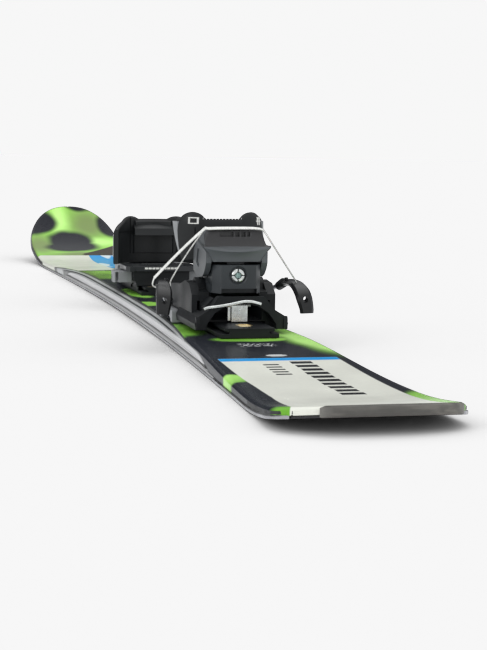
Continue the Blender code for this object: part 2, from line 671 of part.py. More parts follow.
def build_heel_lever():
    """The opening lever: a flared scoop over the housing, with a flank down each side of it."""
    outline_points = [(-0.3186, 0.0634, 0.0160), (-0.3196, 0.0690, 0.0196), (-0.3192, 0.0750, 0.0243),
                      (-0.3168, 0.0752, 0.0236), (-0.3120, 0.0735, 0.0222), (-0.3072, 0.0860, 0.0196),
                      (-0.3045, 0.0868, 0.0188), (-0.2950, 0.0835, 0.0200), (-0.2800, 0.0770, 0.0208),
                      (-0.2772, 0.0700, 0.0210), (-0.2790, 0.0640, 0.0210), (-0.3120, 0.0640, 0.0196),
                      (-0.3160, 0.0632, 0.0170)]
    lever = side_solid("heel_lever", outline_points, "lever_grey")
    flank = [(-0.3130, 0.0665), (-0.3135, 0.0618), (-0.3005, 0.0508), (-0.2772, 0.0560), (-0.2772, 0.0690),
             (-0.2830, 0.0740)]
    for side in (-1, 1):
        low, high = sorted((side * 0.0182, side * 0.0206))
        join(lever, plate(f"lever_flank_{side}", flank, "YZ", low, high))
    slot = box("lever_slot", (-0.0065, -0.3135, 0.0600), (0.0065, -0.3020, 0.0710))
    bore = crosswise("lever_bore", LEVER_PIVOT, 0.0160, LEVER_BORE, SMALL_SIDES)
    hollow = box("lever_hollow", (-0.0150, -0.2985, 0.0600), (0.0150, -0.2700, 0.0680))
    neck_room = box("lever_neck_room", (-0.0155, -0.2790, 0.0600), (0.0155, -0.2650, 0.0900))
    cut(lever, slot, bore, hollow, neck_room)
    return lever


# --- Brake: two arms, their paddles and the pedal that the boot stands on ---

PADDLE_ROUTE = ((0.0462, -0.2720, 0.0445), (0.0470, -0.2800, 0.0470), (0.0480, -0.2900, 0.0478),
                (0.0492, -0.3000, 0.0464), (0.0502, -0.3080, 0.0424), (0.0510, -0.3124, 0.0366),
                (0.0520, -0.3146, 0.0300), (0.0522, -0.3150, 0.0262))
PADDLE_HALF_WIDTHS = (0.0022, 0.0036, 0.0046, 0.0054, 0.0058, 0.0056, 0.0050, 0.0046)
PADDLE_THICK = 0.0042
PADDLE_HOLE_AT, PADDLE_HOLE = 5, 0.0019  # the route point that the hole is at, and its radius
ARM_ROUTE = ((0.0100, -0.2100, 0.0302), (0.0120, -0.2290, 0.0296), (0.0140, -0.2350, 0.0286),
             (0.0170, -0.2360, 0.0280), (0.0330, -0.2360, 0.0280), (0.0360, -0.2385, 0.0295),
             (0.0415, -0.2510, 0.0385), (0.0450, -0.2630, 0.0430), (0.04605, -0.2711, 0.0441))


def build_paddle(name, side):
    route = [Vector(p) for p in PADDLE_ROUTE]
    rings = []
    for i, (place, half) in enumerate(zip(route, PADDLE_HALF_WIDTHS)):
        along = (route[min(i + 1, len(route) - 1)] - route[max(i - 1, 0)]).normalized()
        across = Vector((1, 0, 0))
        out = along.cross(across).normalized() * PADDLE_THICK / 2
        corners = [place - across * half - out, place + across * half - out,
                   place + across * half + out, place - across * half + out]
        rings.append([(side * p.x, p.y, p.z) for p in corners])
    paddle = loft(name, rings, "moulded_black")
    x, y, z = PADDLE_ROUTE[PADDLE_HOLE_AT]
    ends = [(side * x, y + way * 0.0060, z + way * 0.0008) for way in (-1, 1)]
    cut(paddle, cylinder(f"{name}_hole", *ends, PADDLE_HOLE, sides=BORE_SIDES))
    return paddle


def build_brake(empty):
    pieces = []
    for side, word in ((-1, "left"), (1, "right")):
        route = smooth_route([(side * x, y, z) for x, y, z in ARM_ROUTE], 2)
        pieces.append(tube(f"brake_arm_{word}", route, BRAKE_WIRE, "spring_steel"))
        pieces.append(build_paddle(f"brake_paddle_{word}", side))
    pieces.append(box("brake_pedal", (-0.0160, -0.2350, 0.0332), (0.0160, -0.2010, 0.0376),
                      "moulded_black"))
    carry(empty, *pieces)


# --- Toe carriage and toe piece ---


def build_toe_base():
    """The deck that slides on the toe track and carries the toe piece's pivot."""
    half = [(0.0225, HOOK_BOTTOM), (0.0225, 0.0240), (0.0250, 0.0270), (0.0250, 0.0366)]
    base = plate("toe_base", half + [(-x, z) for x, z in reversed(half)], "XZ", -0.0290, 0.0700,
                 "moulded_black")
    cut(base, channel_cutter("toe_channel", -0.0310, 0.0800))
    cut(base, box("pad_seat", (-0.0330, -0.0330, 0.0338), (0.0330, 0.0100, 0.0400)))
    cut(base, cylinder("post_seat", (0, TOE_PIVOT.y, 0.0150), (0, TOE_PIVOT.y, 0.0500), POST_BORE))
    return base


def build_toe_foot(word, side):
    """A grey side foot that widens the deck under one wing of the toe cup, and tapers in ahead of it."""
    plan = [(0.0253, -0.0200), (0.0415, -0.0200), (0.0415, -0.0060), (0.0300, 0.0180), (0.0300, 0.0480),
            (0.0253, 0.0480)]
    foot = plate(f"toe_foot_{word}", [(side * x, y) for x, y in plan], "XY", 0.0236, 0.0366, "moulded_grey")
    cut(foot, box(f"foot_seat_{word}", (-0.0500, -0.0300, 0.0336), (0.0500, 0.0110, 0.0400)))
    return foot


def build_toe_carriage(empty):
    pieces = [build_toe_base()]
    pieces += [build_toe_foot(word, side) for word, side in (("left", -1), ("right", 1))]
    pieces.append(box("toe_sole_plate", (-0.0320, -0.0320, 0.0341), (0.0320, 0.0095, 0.0385),
                      "low_friction"))
    pieces.append(cylinder("toe_pivot_post", (0, TOE_PIVOT.y, CHANNEL_TOP), (0, TOE_PIVOT.y, 0.0636),
                           POST_BORE - RUN_GAP, "spring_steel"))
    carry(empty, *pieces)


def build_toe_cup():
    """The horseshoe that holds the boot's toe, open towards the tail."""
    rings = []
    for angle in cup_angles(10, 170):
        top = crest(cos(angle), 0.0780, 0.0810, 0.0700)
        rings.append(cup_ring(angle, TOE_CUP_CENTRE_Y, TOE_CUP_INNER, TOE_CUP_OUTER, 0.0408, top))
    cup = loft("toe_cup", rings, "moulded_black")
    brow = side_solid("toe_brow", [(0.0130, 0.0660, 0.0180), (0.0135, 0.0735, 0.0180),
                                   (0.0220, 0.0765, 0.0180), (0.0243, 0.0765, 0.0180),
                                   (0.0243, 0.0660, 0.0180)])
    join(cup, brow)
    return cup


def build_toe_housing():
    z = TOE_SPRING_Z
    profile = [(0.0249, 0.0372, 0.0200), (0.0249, 0.0740, 0.0190), (0.0310, 0.0745, 0.0190),
               (0.0560, 0.0700, 0.0160), (0.0700, 0.0660, 0.0130), (TOE_FRONT, 0.0630, 0.0120),
               (TOE_FRONT, 0.0500, 0.0120), (0.0640, 0.0400, 0.0150), (0.0600, 0.0372, 0.0160)]
    housing = side_solid("toe_housing", profile, "moulded_black")
    post_bore = cylinder("toe_post_bore", (0, TOE_PIVOT.y, 0.0300), (0, TOE_PIVOT.y, 0.0640), POST_BORE)
    spring_bore = cylinder("toe_spring_bore", (0, 0.0380, z), (0, 0.0725, z), SPRING_BORE)
    head_bore = cylinder("toe_head_bore", (0, 0.0707, z), (0, TOE_FRONT + 0.0020, z), HEAD_BORE)
    cut(housing, post_bore, spring_bore, head_bore)
    return housing


# --- Retaining band: one elastic loop over the lever, hooked round both paddles ---

BAND_RADIUS = 0.0009
BAND_SIDE = ((0.0210, -0.3040, 0.0893), (0.0375, -0.2970, 0.0701), (0.0542, -0.2900, 0.0508),
             (0.0545, -0.2895, 0.0451), (0.0480, -0.2890, 0.0438), (0.0418, -0.2885, 0.0451),
             (0.0412, -0.2880, 0.0506), (0.0305, -0.2940, 0.0696), (0.0200, -0.3000, 0.0882))


def build_band():
    right = [Vector(p) for p in BAND_SIDE]
    left = [Vector((-p.x, p.y, p.z)) for p in reversed(right)]
    return tube("retaining_band", right + left, BAND_RADIUS, "band_white", resolution=1, cyclic=True)


# --- Assembly: one empty on each joint's axis carries the pieces that move about it ---


def build_binding(ski_layers):
    build_track("heel_track", HEEL_TRACK, HEEL_SCREWS, ski_layers)
    build_track("toe_track", TOE_TRACK, TOE_SCREWS, ski_layers)

    build_heel_carriage(axis_empty("heel_slide_axis", (0, HEEL_PIVOT.y, CHANNEL_TOP)))
    carry(axis_empty("heel_lock_axis", LOCK_PIVOT), build_lock_tongue())

    heel_axis = axis_empty("heel_tilt_axis", HEEL_PIVOT)
    z = HEEL_SPRING_Z
    heel_spring = build_spring("heel_spring", -0.3050, -0.2852, z, 7)
    piston = cylinder("heel_piston", (0, -0.2840, z), (0, -0.2792, z), PISTON_RADIUS, "zinc", PIN_SIDES)
    lever_pin = crosswise("lever_pin", LEVER_PIVOT, 0.0155, LEVER_PIN, SMALL_SIDES, "spring_steel")
    carry(heel_axis, build_heel_housing(), build_heel_cup(), heel_spring, piston, lever_pin)
    carry(axis_empty("lever_axis", LEVER_PIVOT), build_heel_lever())
    carry(axis_empty("heel_screw_axis", (0, HOUSING_REAR, z)),
          build_adjusting_screw("heel_adjusting_screw", HOUSING_REAR - 0.0004, z, -1))
    carry(axis_empty("heel_nut_axis", (0, -0.3100, z)), build_nut("heel_preload_nut", -0.3120, -0.3080, z))
    build_brake(axis_empty("brake_axis", BRAKE_PIVOT))

    build_toe_carriage(axis_empty("toe_slide_axis", (0, TOE_PIVOT.y, CHANNEL_TOP)))
    toe_axis = axis_empty("toe_swivel_axis", TOE_PIVOT)
    z = TOE_SPRING_Z
    toe_spring = build_spring("toe_spring", 0.0508, 0.0600, z, 4)
    toe_piston = cylinder("toe_piston", (0, 0.0457, z), (0, 0.0496, z), PISTON_RADIUS, "zinc", PIN_SIDES)
    carry(toe_axis, build_toe_housing(), build_toe_cup(), toe_spring, toe_piston)
    carry(axis_empty("toe_screw_axis", (0, TOE_FRONT, z)),
          build_adjusting_screw("toe_adjusting_screw", TOE_FRONT - 0.0002, z, 1))
    carry(axis_empty("toe_nut_axis", (0, 0.0650, z)), build_nut("toe_preload_nut", 0.0636, 0.0664, z))


def main():
    ski_layers = build_ski()
    build_binding(ski_layers)
    build_band()


main()
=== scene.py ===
"""Looks for the junior ski with its step-in binding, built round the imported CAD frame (metres, +Z up)."""

import json
from math import cos, pi, radians, sin

import bmesh
import bpy
from mathutils import Matrix, Vector


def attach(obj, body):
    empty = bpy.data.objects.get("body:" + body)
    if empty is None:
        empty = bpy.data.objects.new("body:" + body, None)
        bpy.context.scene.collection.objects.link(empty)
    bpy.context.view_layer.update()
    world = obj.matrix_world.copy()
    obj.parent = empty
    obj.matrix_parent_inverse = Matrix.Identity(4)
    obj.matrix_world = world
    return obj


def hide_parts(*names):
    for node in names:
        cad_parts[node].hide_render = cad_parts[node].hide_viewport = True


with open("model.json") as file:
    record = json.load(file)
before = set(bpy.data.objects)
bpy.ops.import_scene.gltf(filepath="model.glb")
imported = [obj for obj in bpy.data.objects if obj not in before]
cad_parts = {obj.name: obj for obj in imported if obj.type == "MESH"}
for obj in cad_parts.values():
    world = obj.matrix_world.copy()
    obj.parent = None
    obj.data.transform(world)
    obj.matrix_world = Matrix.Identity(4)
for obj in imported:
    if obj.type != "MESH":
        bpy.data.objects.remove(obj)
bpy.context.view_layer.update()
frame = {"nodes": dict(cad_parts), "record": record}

NODES = frame["nodes"]
SCENE = bpy.context.scene
SCENE.view_settings.view_transform = "Standard"


# --- Camera, light and floor ---

CAMERA_PLACE = Vector((-0.2488, -1.3641, 0.14))
CAMERA_AZIMUTH, CAMERA_ELEVATION, CAMERA_ROLL = -0.2381, 0.1122, 0.0147
CAMERA_LENS, CAMERA_SENSOR = 85.0, 36.0


def add_camera():
    data = bpy.data.cameras.new("camera")
    data.lens = CAMERA_LENS
    data.sensor_width = CAMERA_SENSOR
    data.clip_start, data.clip_end = 0.01, 100
    camera = bpy.data.objects.new("camera", data)
    SCENE.collection.objects.link(camera)
    a, e, roll = CAMERA_AZIMUTH, CAMERA_ELEVATION, CAMERA_ROLL
    back = Vector((sin(a) * cos(e), -cos(a) * cos(e), sin(e)))
    right = Vector((cos(a), sin(a), 0))
    up = back.cross(right)
    turned_right = right * cos(roll) + up * sin(roll)
    turned_up = up * cos(roll) - right * sin(roll)
    camera.matrix_world = (Matrix.Translation(CAMERA_PLACE)
                           @ Matrix((turned_right, turned_up, back)).transposed().to_4x4())
    SCENE.camera = camera


def add_area_light(name, place, target, size, power, size_y=None):
    data = bpy.data.lights.new(name, "AREA")
    data.energy = power
    data.shape = "RECTANGLE"
    data.size, data.size_y = size, size_y or size
    light = bpy.data.objects.new(name, data)
    light.location = place
    light.rotation_euler = (Vector(target) - Vector(place)).to_track_quat("-Z", "Y").to_euler()
    SCENE.collection.objects.link(light)


def add_world():
    """Even pale surroundings to look at. As a light they have one dark side, low beyond the tip, so that
    the glossy print seen at a shallow angle keeps its colours."""
    world = bpy.data.worlds.new("studio")
    world.use_nodes = True
    tree = Nodes(world.node_tree)
    background = world.node_tree.nodes["Background"]
    around = world.node_tree.nodes.new("ShaderNodeTexCoord").outputs["Generated"]
    split = world.node_tree.nodes.new("ShaderNodeSeparateXYZ")
    world.node_tree.links.new(around, split.inputs[0])
    _, y, z = split.outputs
    dark = tree.math("MULTIPLY", tree.step(y, 0.15, 0.75), tree.step(z, 0.62, 0.22))
    lit = tree.mix(dark, (0.88, 0.89, 0.9), (0.05, 0.05, 0.055))
    seen = world.node_tree.nodes.new("ShaderNodeLightPath").outputs["Is Camera Ray"]
    world.node_tree.links.new(tree.mix(seen, lit, (0.929, 0.929, 0.929)), background.inputs["Color"])
    SCENE.world = world


def add_studio():
    add_world()
    add_area_light("softbox_above", (0.2, 0.0, 1.6), (0, -0.1, 0), 1.4, 8.5, 2.0)
    add_area_light("softbox_left", (-1.5, -1.2, 1.0), (0, -0.2, 0.05), 0.8, 7, 0.8)
    floor = bpy.data.meshes.new("floor")
    bm = bmesh.new()
    bmesh.ops.create_grid(bm, x_segments=1, y_segments=1, size=30)
    bm.to_mesh(floor)
    bm.free()
    floor_object = bpy.data.objects.new("floor", floor)
    floor_object.location.z = -0.0004
    floor_object.is_shadow_catcher = True
    SCENE.collection.objects.link(floor_object)
    paint = Paint("floor_paper", (0.9, 0.9, 0.9), 0.9)
    paint.bump(paint.noise(60, 3), 0.02, 0.002)
    floor.materials.append(paint.material)


# --- Tables of points, written as text: numbers in millimetres, with a comma between points ---

PER_METRE = 1000


def points(table):
    return [tuple(float(number) for number in point.split()) for point in table.split(",")]


def metres(table):
    return [tuple(number / PER_METRE for number in point) for point in points(table)]


# --- Materials: a Paint is a Principled material whose nodes are added by short calls ---


def linear(red, green, blue):
    """Linear colour from 0 to 255 display values."""
    shares = [value / 255 for value in (red, green, blue)]
    return tuple(s / 12.92 if s <= 0.04045 else ((s + 0.055) / 1.055) ** 2.4 for s in shares)


class Nodes:
    """Short calls that add nodes to a tree and give back their outputs."""

    def __init__(self, tree):
        self.tree = tree

    def feed(self, socket, value):
        if isinstance(value, bpy.types.NodeSocket):
            self.tree.links.new(value, socket)
        elif value is not None:
            if isinstance(value, tuple) and len(value) == 3 and socket.type == "RGBA":
                value = (*value, 1.0)
            socket.default_value = value

    def place(self):
        """The point on the object, as x, y and z outputs in metres."""
        node = self.tree.nodes.new("ShaderNodeTexCoord")
        split = self.tree.nodes.new("ShaderNodeSeparateXYZ")
        self.tree.links.new(node.outputs["Object"], split.inputs[0])
        return split.outputs

    def stretched(self, scale):
        """Object coordinates stretched by a scale on each axis."""
        node = self.tree.nodes.new("ShaderNodeTexCoord")
        mapping = self.tree.nodes.new("ShaderNodeMapping")
        self.tree.links.new(node.outputs["Object"], mapping.inputs["Vector"])
        mapping.inputs["Scale"].default_value = scale
        return mapping.outputs["Vector"]

    def uv(self, name):
        node = self.tree.nodes.new("ShaderNodeUVMap")
        node.uv_map = name
        split = self.tree.nodes.new("ShaderNodeSeparateXYZ")
        self.tree.links.new(node.outputs["UV"], split.inputs[0])
        return split.outputs

    def math(self, operation, *values):
        node = self.tree.nodes.new("ShaderNodeMath")
        node.operation = operation
        for socket, value in zip(node.inputs, values):
            self.feed(socket, value)
        return node.outputs[0]

    def step(self, value, low, high):
        """0 at low and 1 at high, with a smooth change between; high may be the smaller one."""
        node = self.tree.nodes.new("ShaderNodeMapRange")
        node.interpolation_type = "SMOOTHSTEP"
        flip = float(high < low)
        for socket, item in zip(node.inputs, (value, min(low, high), max(low, high), flip, 1 - flip)):
            self.feed(socket, item)
        return node.outputs[0]

    def stripe(self, value, low, high, soft=0.0004):
        """1 between low and high, 0 outside."""
        return self.both(self.step(value, low - soft, low + soft), self.step(value, high + soft, high - soft))

    def both(self, *masks):
        whole = masks[0]
        for mask in masks[1:]:
            whole = self.math("MULTIPLY", whole, mask)
        return whole

    def either(self, masks):
        whole = masks[0]
        for mask in masks[1:]:
            whole = self.math("MAXIMUM", whole, mask)
        return whole

    def mix(self, share, first, second):
        node = self.tree.nodes.new("ShaderNodeMix")
        node.data_type = "RGBA"
        self.feed(node.inputs["Factor"], share)
        self.feed(node.inputs[6], first)
        self.feed(node.inputs[7], second)
        return node.outputs[2]

    def noise(self, scale, detail=3.0, vector=None):
        node = self.tree.nodes.new("ShaderNodeTexNoise")
        node.inputs["Scale"].default_value = scale
        node.inputs["Detail"].default_value = detail
        self.feed(node.inputs["Vector"], vector or self.stretched((1, 1, 1)))
        return node.outputs["Fac"]

    def beyond(self, x, y, line, soft=0.0004):
        """1 to the right of a bent line, given as (x, y) points in order of y."""
        node = self.tree.nodes.new("ShaderNodeFloatCurve")
        low_y, high_y = line[0][1], line[-1][1]
        low_x, high_x = min(p[0] for p in line) - 0.001, max(p[0] for p in line) + 0.001
        curve = node.mapping.curves[0]
        for _ in range(len(line) - 2):
            curve.points.new(0.5, 0.5)
        for point, (px, py) in zip(curve.points, line):
            point.location = ((py - low_y) / (high_y - low_y), (px - low_x) / (high_x - low_x))
            point.handle_type = "VECTOR"
        node.mapping.update()
        along = self.math("DIVIDE", self.math("SUBTRACT", y, low_y), high_y - low_y)
        self.feed(node.inputs["Value"], along)
        limit = self.math("MULTIPLY_ADD", node.outputs[0], high_x - low_x, low_x)
        return self.step(self.math("SUBTRACT", x, limit), -soft, soft)


class Paint(Nodes):
    """A Principled material in the making."""

    def __init__(self, name, colour, roughness, metallic=0.0):
        self.material = bpy.data.materials.new(name)
        self.material.use_nodes = True
        super().__init__(self.material.node_tree)
        self.shader = self.tree.nodes["Principled BSDF"]
        self.set("Base Color", colour)
        self.set("Roughness", roughness)
        self.set("Metallic", metallic)

    def set(self, name, value):
        """Gives a shader input a number, a colour or another node's output."""
        self.feed(self.shader.inputs[name], value)

    def bump(self, height, strength, distance):
        node = self.tree.nodes.new("ShaderNodeBump")
        node.inputs["Strength"].default_value = strength
        node.inputs["Distance"].default_value = distance
        self.feed(node.inputs["Height"], height)
        self.tree.links.new(node.outputs["Normal"], self.shader.inputs["Normal"])

    def vary(self, name, low, high, share):
        """Sets a shader input between two values by a share output."""
        node = self.tree.nodes.new("ShaderNodeMapRange")
        for socket, item in zip(node.inputs, (share, 0.3, 0.7, low, high)):
            self.feed(socket, item)
        self.set(name, node.outputs[0])

    def finished(self, colour, roughness, bump):
        self.set("Base Color", colour)
        self.vary("Roughness", *roughness)
        self.bump(*bump)
        return self.material

    def pointed(self, amount):
        """Rises on convex edges, from the surface's pointiness."""
        sharp = self.step(self.tree.nodes.new("ShaderNodeNewGeometry").outputs["Pointiness"], 0.53, 0.62)
        return self.both(sharp, self.noise(180, 5), amount)


def moulded(name, colour, roughness=0.42, grain=2200, depth=0.00005, edge_wear=0.25, specular=0.4):
    """Moulded plastic: fine spark-eroded grain, faint blotches, and a little polish and dust on corners."""
    paint = Paint(name, colour, roughness)
    blotches = paint.noise(35, 4)
    paint.vary("Roughness", roughness - 0.07, roughness + 0.09, blotches)
    worn = paint.pointed(edge_wear)
    light = tuple(min(1.0, c * 2.2 + 0.02) for c in colour)
    toned = paint.mix(paint.step(blotches, 0.35, 0.7), colour, tuple(c * 1.35 for c in colour))
    paint.set("Base Color", paint.mix(worn, toned, light))
    paint.set("Specular IOR Level", specular)
    paint.bump(paint.noise(grain, 2), 0.35, depth)
    return paint.material


def metal(name, colour, roughness=0.28, brushed=(1, 1, 1), scale=400, depth=0.00002):
    """Plated or drawn metal: fine scratches along one direction, duller patches."""
    paint = Paint(name, colour, roughness, 1.0)
    lines = paint.noise(scale, 4, paint.stretched(brushed))
    paint.vary("Roughness", roughness - 0.08, roughness + 0.14, lines)
    patches = paint.noise(90, 3)
    duller = tuple(c * 0.72 for c in colour)
    paint.set("Base Color", paint.mix(paint.step(patches, 0.35, 0.75), colour, duller))
    paint.bump(lines, 0.3, depth)
    return paint.material


# --- The ski: its outline and side profile, as the CAD has them ---

TAIL_END, TIP_END = -0.645, 0.645
TAIL_WIDTH, WAIST_WIDTH, TIP_WIDTH = 0.1087, 0.0795, 0.112
WAIST_Y = -0.053
TAIL_ROUND, TIP_ROUND = 0.0374, 0.0937
TAIL_POWER, TIP_POWER = 2.64, 2.35
TAIL_WIDE, TIP_WIDE = TAIL_END + TAIL_ROUND, TIP_END - TIP_ROUND
CAMBER = 0.0012
TAIL_FLAT, TIP_FLAT = (-0.548, -0.518), (0.424, 0.454)
TAIL_RISE, TIP_RISE, TIP_RISE_POWER = 0.0098, 0.0625, 2.13
PLATEAU, PLATEAU_TOP = (-0.345, 0.17), 0.0139
CONTACT_THICK, TAIL_THICK, TIP_THICK = 0.0073, 0.006, 0.0055
SKI_SMOOTH_ANGLE = 35
MIDDLE_STEPS, TAIL_STEPS, TIP_STEPS = 118, 20, 34


def smooth(share):
    share = min(1.0, max(0.0, share))
    return share * share * (3 - 2 * share)


def half_width(y):
    wide_y, wide = (TAIL_WIDE, TAIL_WIDTH) if y < WAIST_Y else (TIP_WIDE, TIP_WIDTH)
    if TAIL_WIDE <= y <= TIP_WIDE:
        share = (y - WAIST_Y) / (wide_y - WAIST_Y)
        return (WAIST_WIDTH + (wide - WAIST_WIDTH) * share ** 2) / 2
    length, power = (TAIL_ROUND, TAIL_POWER) if y < TAIL_WIDE else (TIP_ROUND, TIP_POWER)
    share = min(1.0, abs(y - wide_y) / length)
    return wide / 2 * (1 - share ** power) ** (1 / power)


def base_height(y):
    if y < TAIL_FLAT[0]:
        return TAIL_RISE * ((TAIL_FLAT[0] - y) / (TAIL_FLAT[0] - TAIL_END)) ** 2
    if y > TIP_FLAT[1]:
        return TIP_RISE * ((y - TIP_FLAT[1]) / (TIP_END - TIP_FLAT[1])) ** TIP_RISE_POWER
    if TAIL_FLAT[1] < y < TIP_FLAT[0]:
        return CAMBER * sin(pi * (y - TAIL_FLAT[1]) / (TIP_FLAT[0] - TAIL_FLAT[1])) ** 2
    return 0.0


def thickness(y):
    if y < TAIL_FLAT[0]:
        return CONTACT_THICK + (TAIL_THICK - CONTACT_THICK) * (TAIL_FLAT[0] - y) / (TAIL_FLAT[0] - TAIL_END)
    if y > TIP_FLAT[1]:
        return CONTACT_THICK + (TIP_THICK - CONTACT_THICK) * (y - TIP_FLAT[1]) / (TIP_END - TIP_FLAT[1])
    middle = PLATEAU_TOP - base_height(y)
    if y < PLATEAU[0]:
        share = (PLATEAU[0] - y) / (PLATEAU[0] - TAIL_FLAT[0])
    else:
        share = (y - PLATEAU[1]) / (TIP_FLAT[1] - PLATEAU[1])
    return middle + (CONTACT_THICK - middle) * smooth(share)


def ski_stations(low, high, spacing=0.008):
    """Places along the ski: even between the widest points, closer round each end."""
    count = int((TIP_WIDE - TAIL_WIDE) / spacing)
    ys = [TAIL_WIDE + (TIP_WIDE - TAIL_WIDE) * i / count for i in range(count + 1)]
    for steps, wide_y, length in ((22, TAIL_WIDE, -TAIL_ROUND), (34, TIP_WIDE, TIP_ROUND)):
        ys += [wide_y + length * sin(pi / 2 * i / steps) ** 0.9 for i in range(1, steps + 1)]
    inside = sorted(y for y in ys if low + 0.0004 < y < high - 0.0004)
    return [low, *inside, high]


def finish_piece(name, mesh, material, body, replaces, smooth_angle):
    mesh.materials.clear()
    mesh.materials.append(material)
    mesh.shade_smooth()
    mesh.set_sharp_from_angle(angle=radians(smooth_angle))
    made = bpy.data.objects.new(name, mesh)
    SCENE.collection.objects.link(made)
    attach(made, body)
    if replaces:
        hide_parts(*replaces)
    return made


def closed_mesh(name, rings):
    """Rings of points, in metres, joined into one closed surface."""
    bm = bmesh.new()
    rows = [[bm.verts.new(point) for point in ring] for ring in rings]
    count = len(rows[0])
    for near, far in zip(rows, rows[1:]):
        for i in range(count):
            j = (i + 1) % count
            bm.faces.new((near[i], near[j], far[j], far[i]))
    bm.faces.new(rows[0][::-1])
    bm.faces.new(rows[-1])
    bmesh.ops.recalc_face_normals(bm, faces=bm.faces)
    mesh = bpy.data.meshes.new(name)
    bm.to_mesh(mesh)
    bm.free()
    return mesh


def ski_piece(name, rings, material, replaces):
    return finish_piece(name, closed_mesh(name, rings), material, "ski", replaces, SKI_SMOOTH_ANGLE)


def add_wall_uv(mesh):
    """A UV layer with y along the ski and the height above the base, which wall stripes follow."""
    layer = mesh.uv_layers.new(name="wall")
    for loop in mesh.loops:
        point = mesh.vertices[loop.vertex_index].co
        layer.data[loop.index].uv = (point.y, point.z - base_height(point.y))


def end_angle(share, last=0.02):
    """Angle round a rounded end: a quarter turn where it starts, almost 0 at its middle."""
    return pi / 2 * (1 - share) + last * share


def cap_stations():
    """Stations from tail to tip: each gives, for an inset, the y and half width of the drawn-in outline."""
    middle = [TAIL_WIDE + (TIP_WIDE - TAIL_WIDE) * i / MIDDLE_STEPS for i in range(MIDDLE_STEPS + 1)]
    tail = [("tail", end_angle(i / TAIL_STEPS)) for i in range(TAIL_STEPS, 0, -1)]
    tip = [("tip", end_angle(i / TIP_STEPS)) for i in range(1, TIP_STEPS + 1)]
    return tail + [("middle", y) for y in middle] + tip


def at_station(station, inset):
    zone, value = station
    if zone == "middle":
        return value, half_width(value) - inset
    wide_y, length, power, way = ((TAIL_WIDE, TAIL_ROUND, TAIL_POWER, -1) if zone == "tail"
                                  else (TIP_WIDE, TIP_ROUND, TIP_POWER, 1))
    half = half_width(wide_y) - inset
    return (wide_y + way * (length - inset) * cos(value) ** (2 / power), half * sin(value) ** (2 / power))


def top_height(y):
    return base_height(y) + thickness(y)


SIDEWALL_ENDS, EDGE_ENDS = (-0.455, 0.325), (-0.63, 0.64)
TAPER = 0.06  # length over which the cap's lip grows past a sidewall's end
LIP_OVER_WALL, LIP_FOOT = 0.0027, 0.0017  # the lip's depth there; its height over the base elsewhere
CAP_FLAT, CAP_INSIDE, CAP_THICK = 0.0044, 0.0026, 0.0011
WALL_FOOT, WALL_FACE, WALL_BACK = 0.0019, 0.0005, 0.0066
EDGE_TOP, EDGE_BACK = 0.00186, 0.0022
SHOULDER, SHOULDER_ENDS = 0.0095, (-0.4, 0.44)


def cap_drop(y):
    """How far the cap's lip reaches below the top: over the sidewalls it stops short of them."""
    full = thickness(y) - LIP_FOOT
    share = smooth((SIDEWALL_ENDS[0] + TAPER - y) / TAPER) + smooth((y - SIDEWALL_ENDS[1] + TAPER) / TAPER)
    return LIP_OVER_WALL + (full - LIP_OVER_WALL) * share


def shoulder_width(y):
    """Width of the striped shoulder along each side, widest underfoot."""
    return 0.0002 + SHOULDER * smooth((y - SHOULDER_ENDS[0]) / 0.22) * smooth((SHOULDER_ENDS[1] - y) / 0.3)


def build_cap(material):
    """The printed cap: flat on top, rolled over along each side into a lip."""
    chamfer = ((0.0011, None), (0.001, 0.0021), (0.0013, 0.0015), (0.0021, 0.0008), (0.0031, 0.00025),
               (CAP_FLAT, 0.0))
    rings = []
    for station in cap_stations():
        right = []
        for inset, depth in chamfer:
            y, half = at_station(station, inset)
            deep = cap_drop(y) if depth is None else min(depth, thickness(y) * 0.4)
            right.append((half, y, top_height(y) - deep))
        y, half = at_station(station, CAP_FLAT)
        right += [(half * share, y, top_height(y)) for share in (0.66, 0.33, 0.0)]
        left = [(-x, y, z) for x, y, z in reversed(right[:-1])]
        y, half = at_station(station, CAP_INSIDE)
        drop_inside = min(CAP_THICK, cap_drop(y) * 0.5)
        under = [(-half, y, top_height(y) - cap_drop(y)), (-half, y, top_height(y) - drop_inside),
                 (half, y, top_height(y) - drop_inside), (half, y, top_height(y) - cap_drop(y))]
        rings.append(right + left + under)
    made = ski_piece("printed_cap", rings, material, ("topsheet", "upper_laminate"))
    add_wall_uv(made.data)
    layer = made.data.uv_layers.new(name="edge")
    for loop in made.data.loops:
        x, y, _ = made.data.vertices[loop.vertex_index].co
        inset = max(0.0, half_width(y) - abs(x))
        layer.data[loop.index].uv = (inset / shoulder_width(y), y)


def side_loft(name, side, section, low, high, material, replaces, slot, spacing=0.008):
    """A strip along one side of the ski; section(y) gives (inset, height above the base) points."""
    rings = []
    for y in ski_stations(low, high, spacing):
        ring = []
        for inset, height in section(y):
            half = max(half_width(y) - inset, 0.0005)
            ring.append((side * half, y, base_height(y) + height))
        rings.append(ring)
    add_wall_uv(ski_piece(name, rings, material, replaces).data)


def sidewall_section(y):
    """The wall's outer face with a shallow groove along it."""
    top = max(0.0026, thickness(y) - cap_drop(y) - 0.0001)
    groove = WALL_FOOT + (top - WALL_FOOT) * 0.56
    depth = 0.0003 * smooth((top - 0.003) / 0.003)
    return [(WALL_FACE, WALL_FOOT), (WALL_FACE, groove - 0.0003), (WALL_FACE + depth, groove),
            (WALL_FACE, groove + 0.0003), (0.0007, top - 0.0002), (0.001, top), (WALL_BACK, top),
            (WALL_BACK, WALL_FOOT)]


def edge_section(_):
    return [(0.0002, 0.0), (0.0, 0.0003), (0.0, 0.0017), (0.0001, EDGE_TOP), (EDGE_BACK, EDGE_TOP),
            (EDGE_BACK, 0.0)]


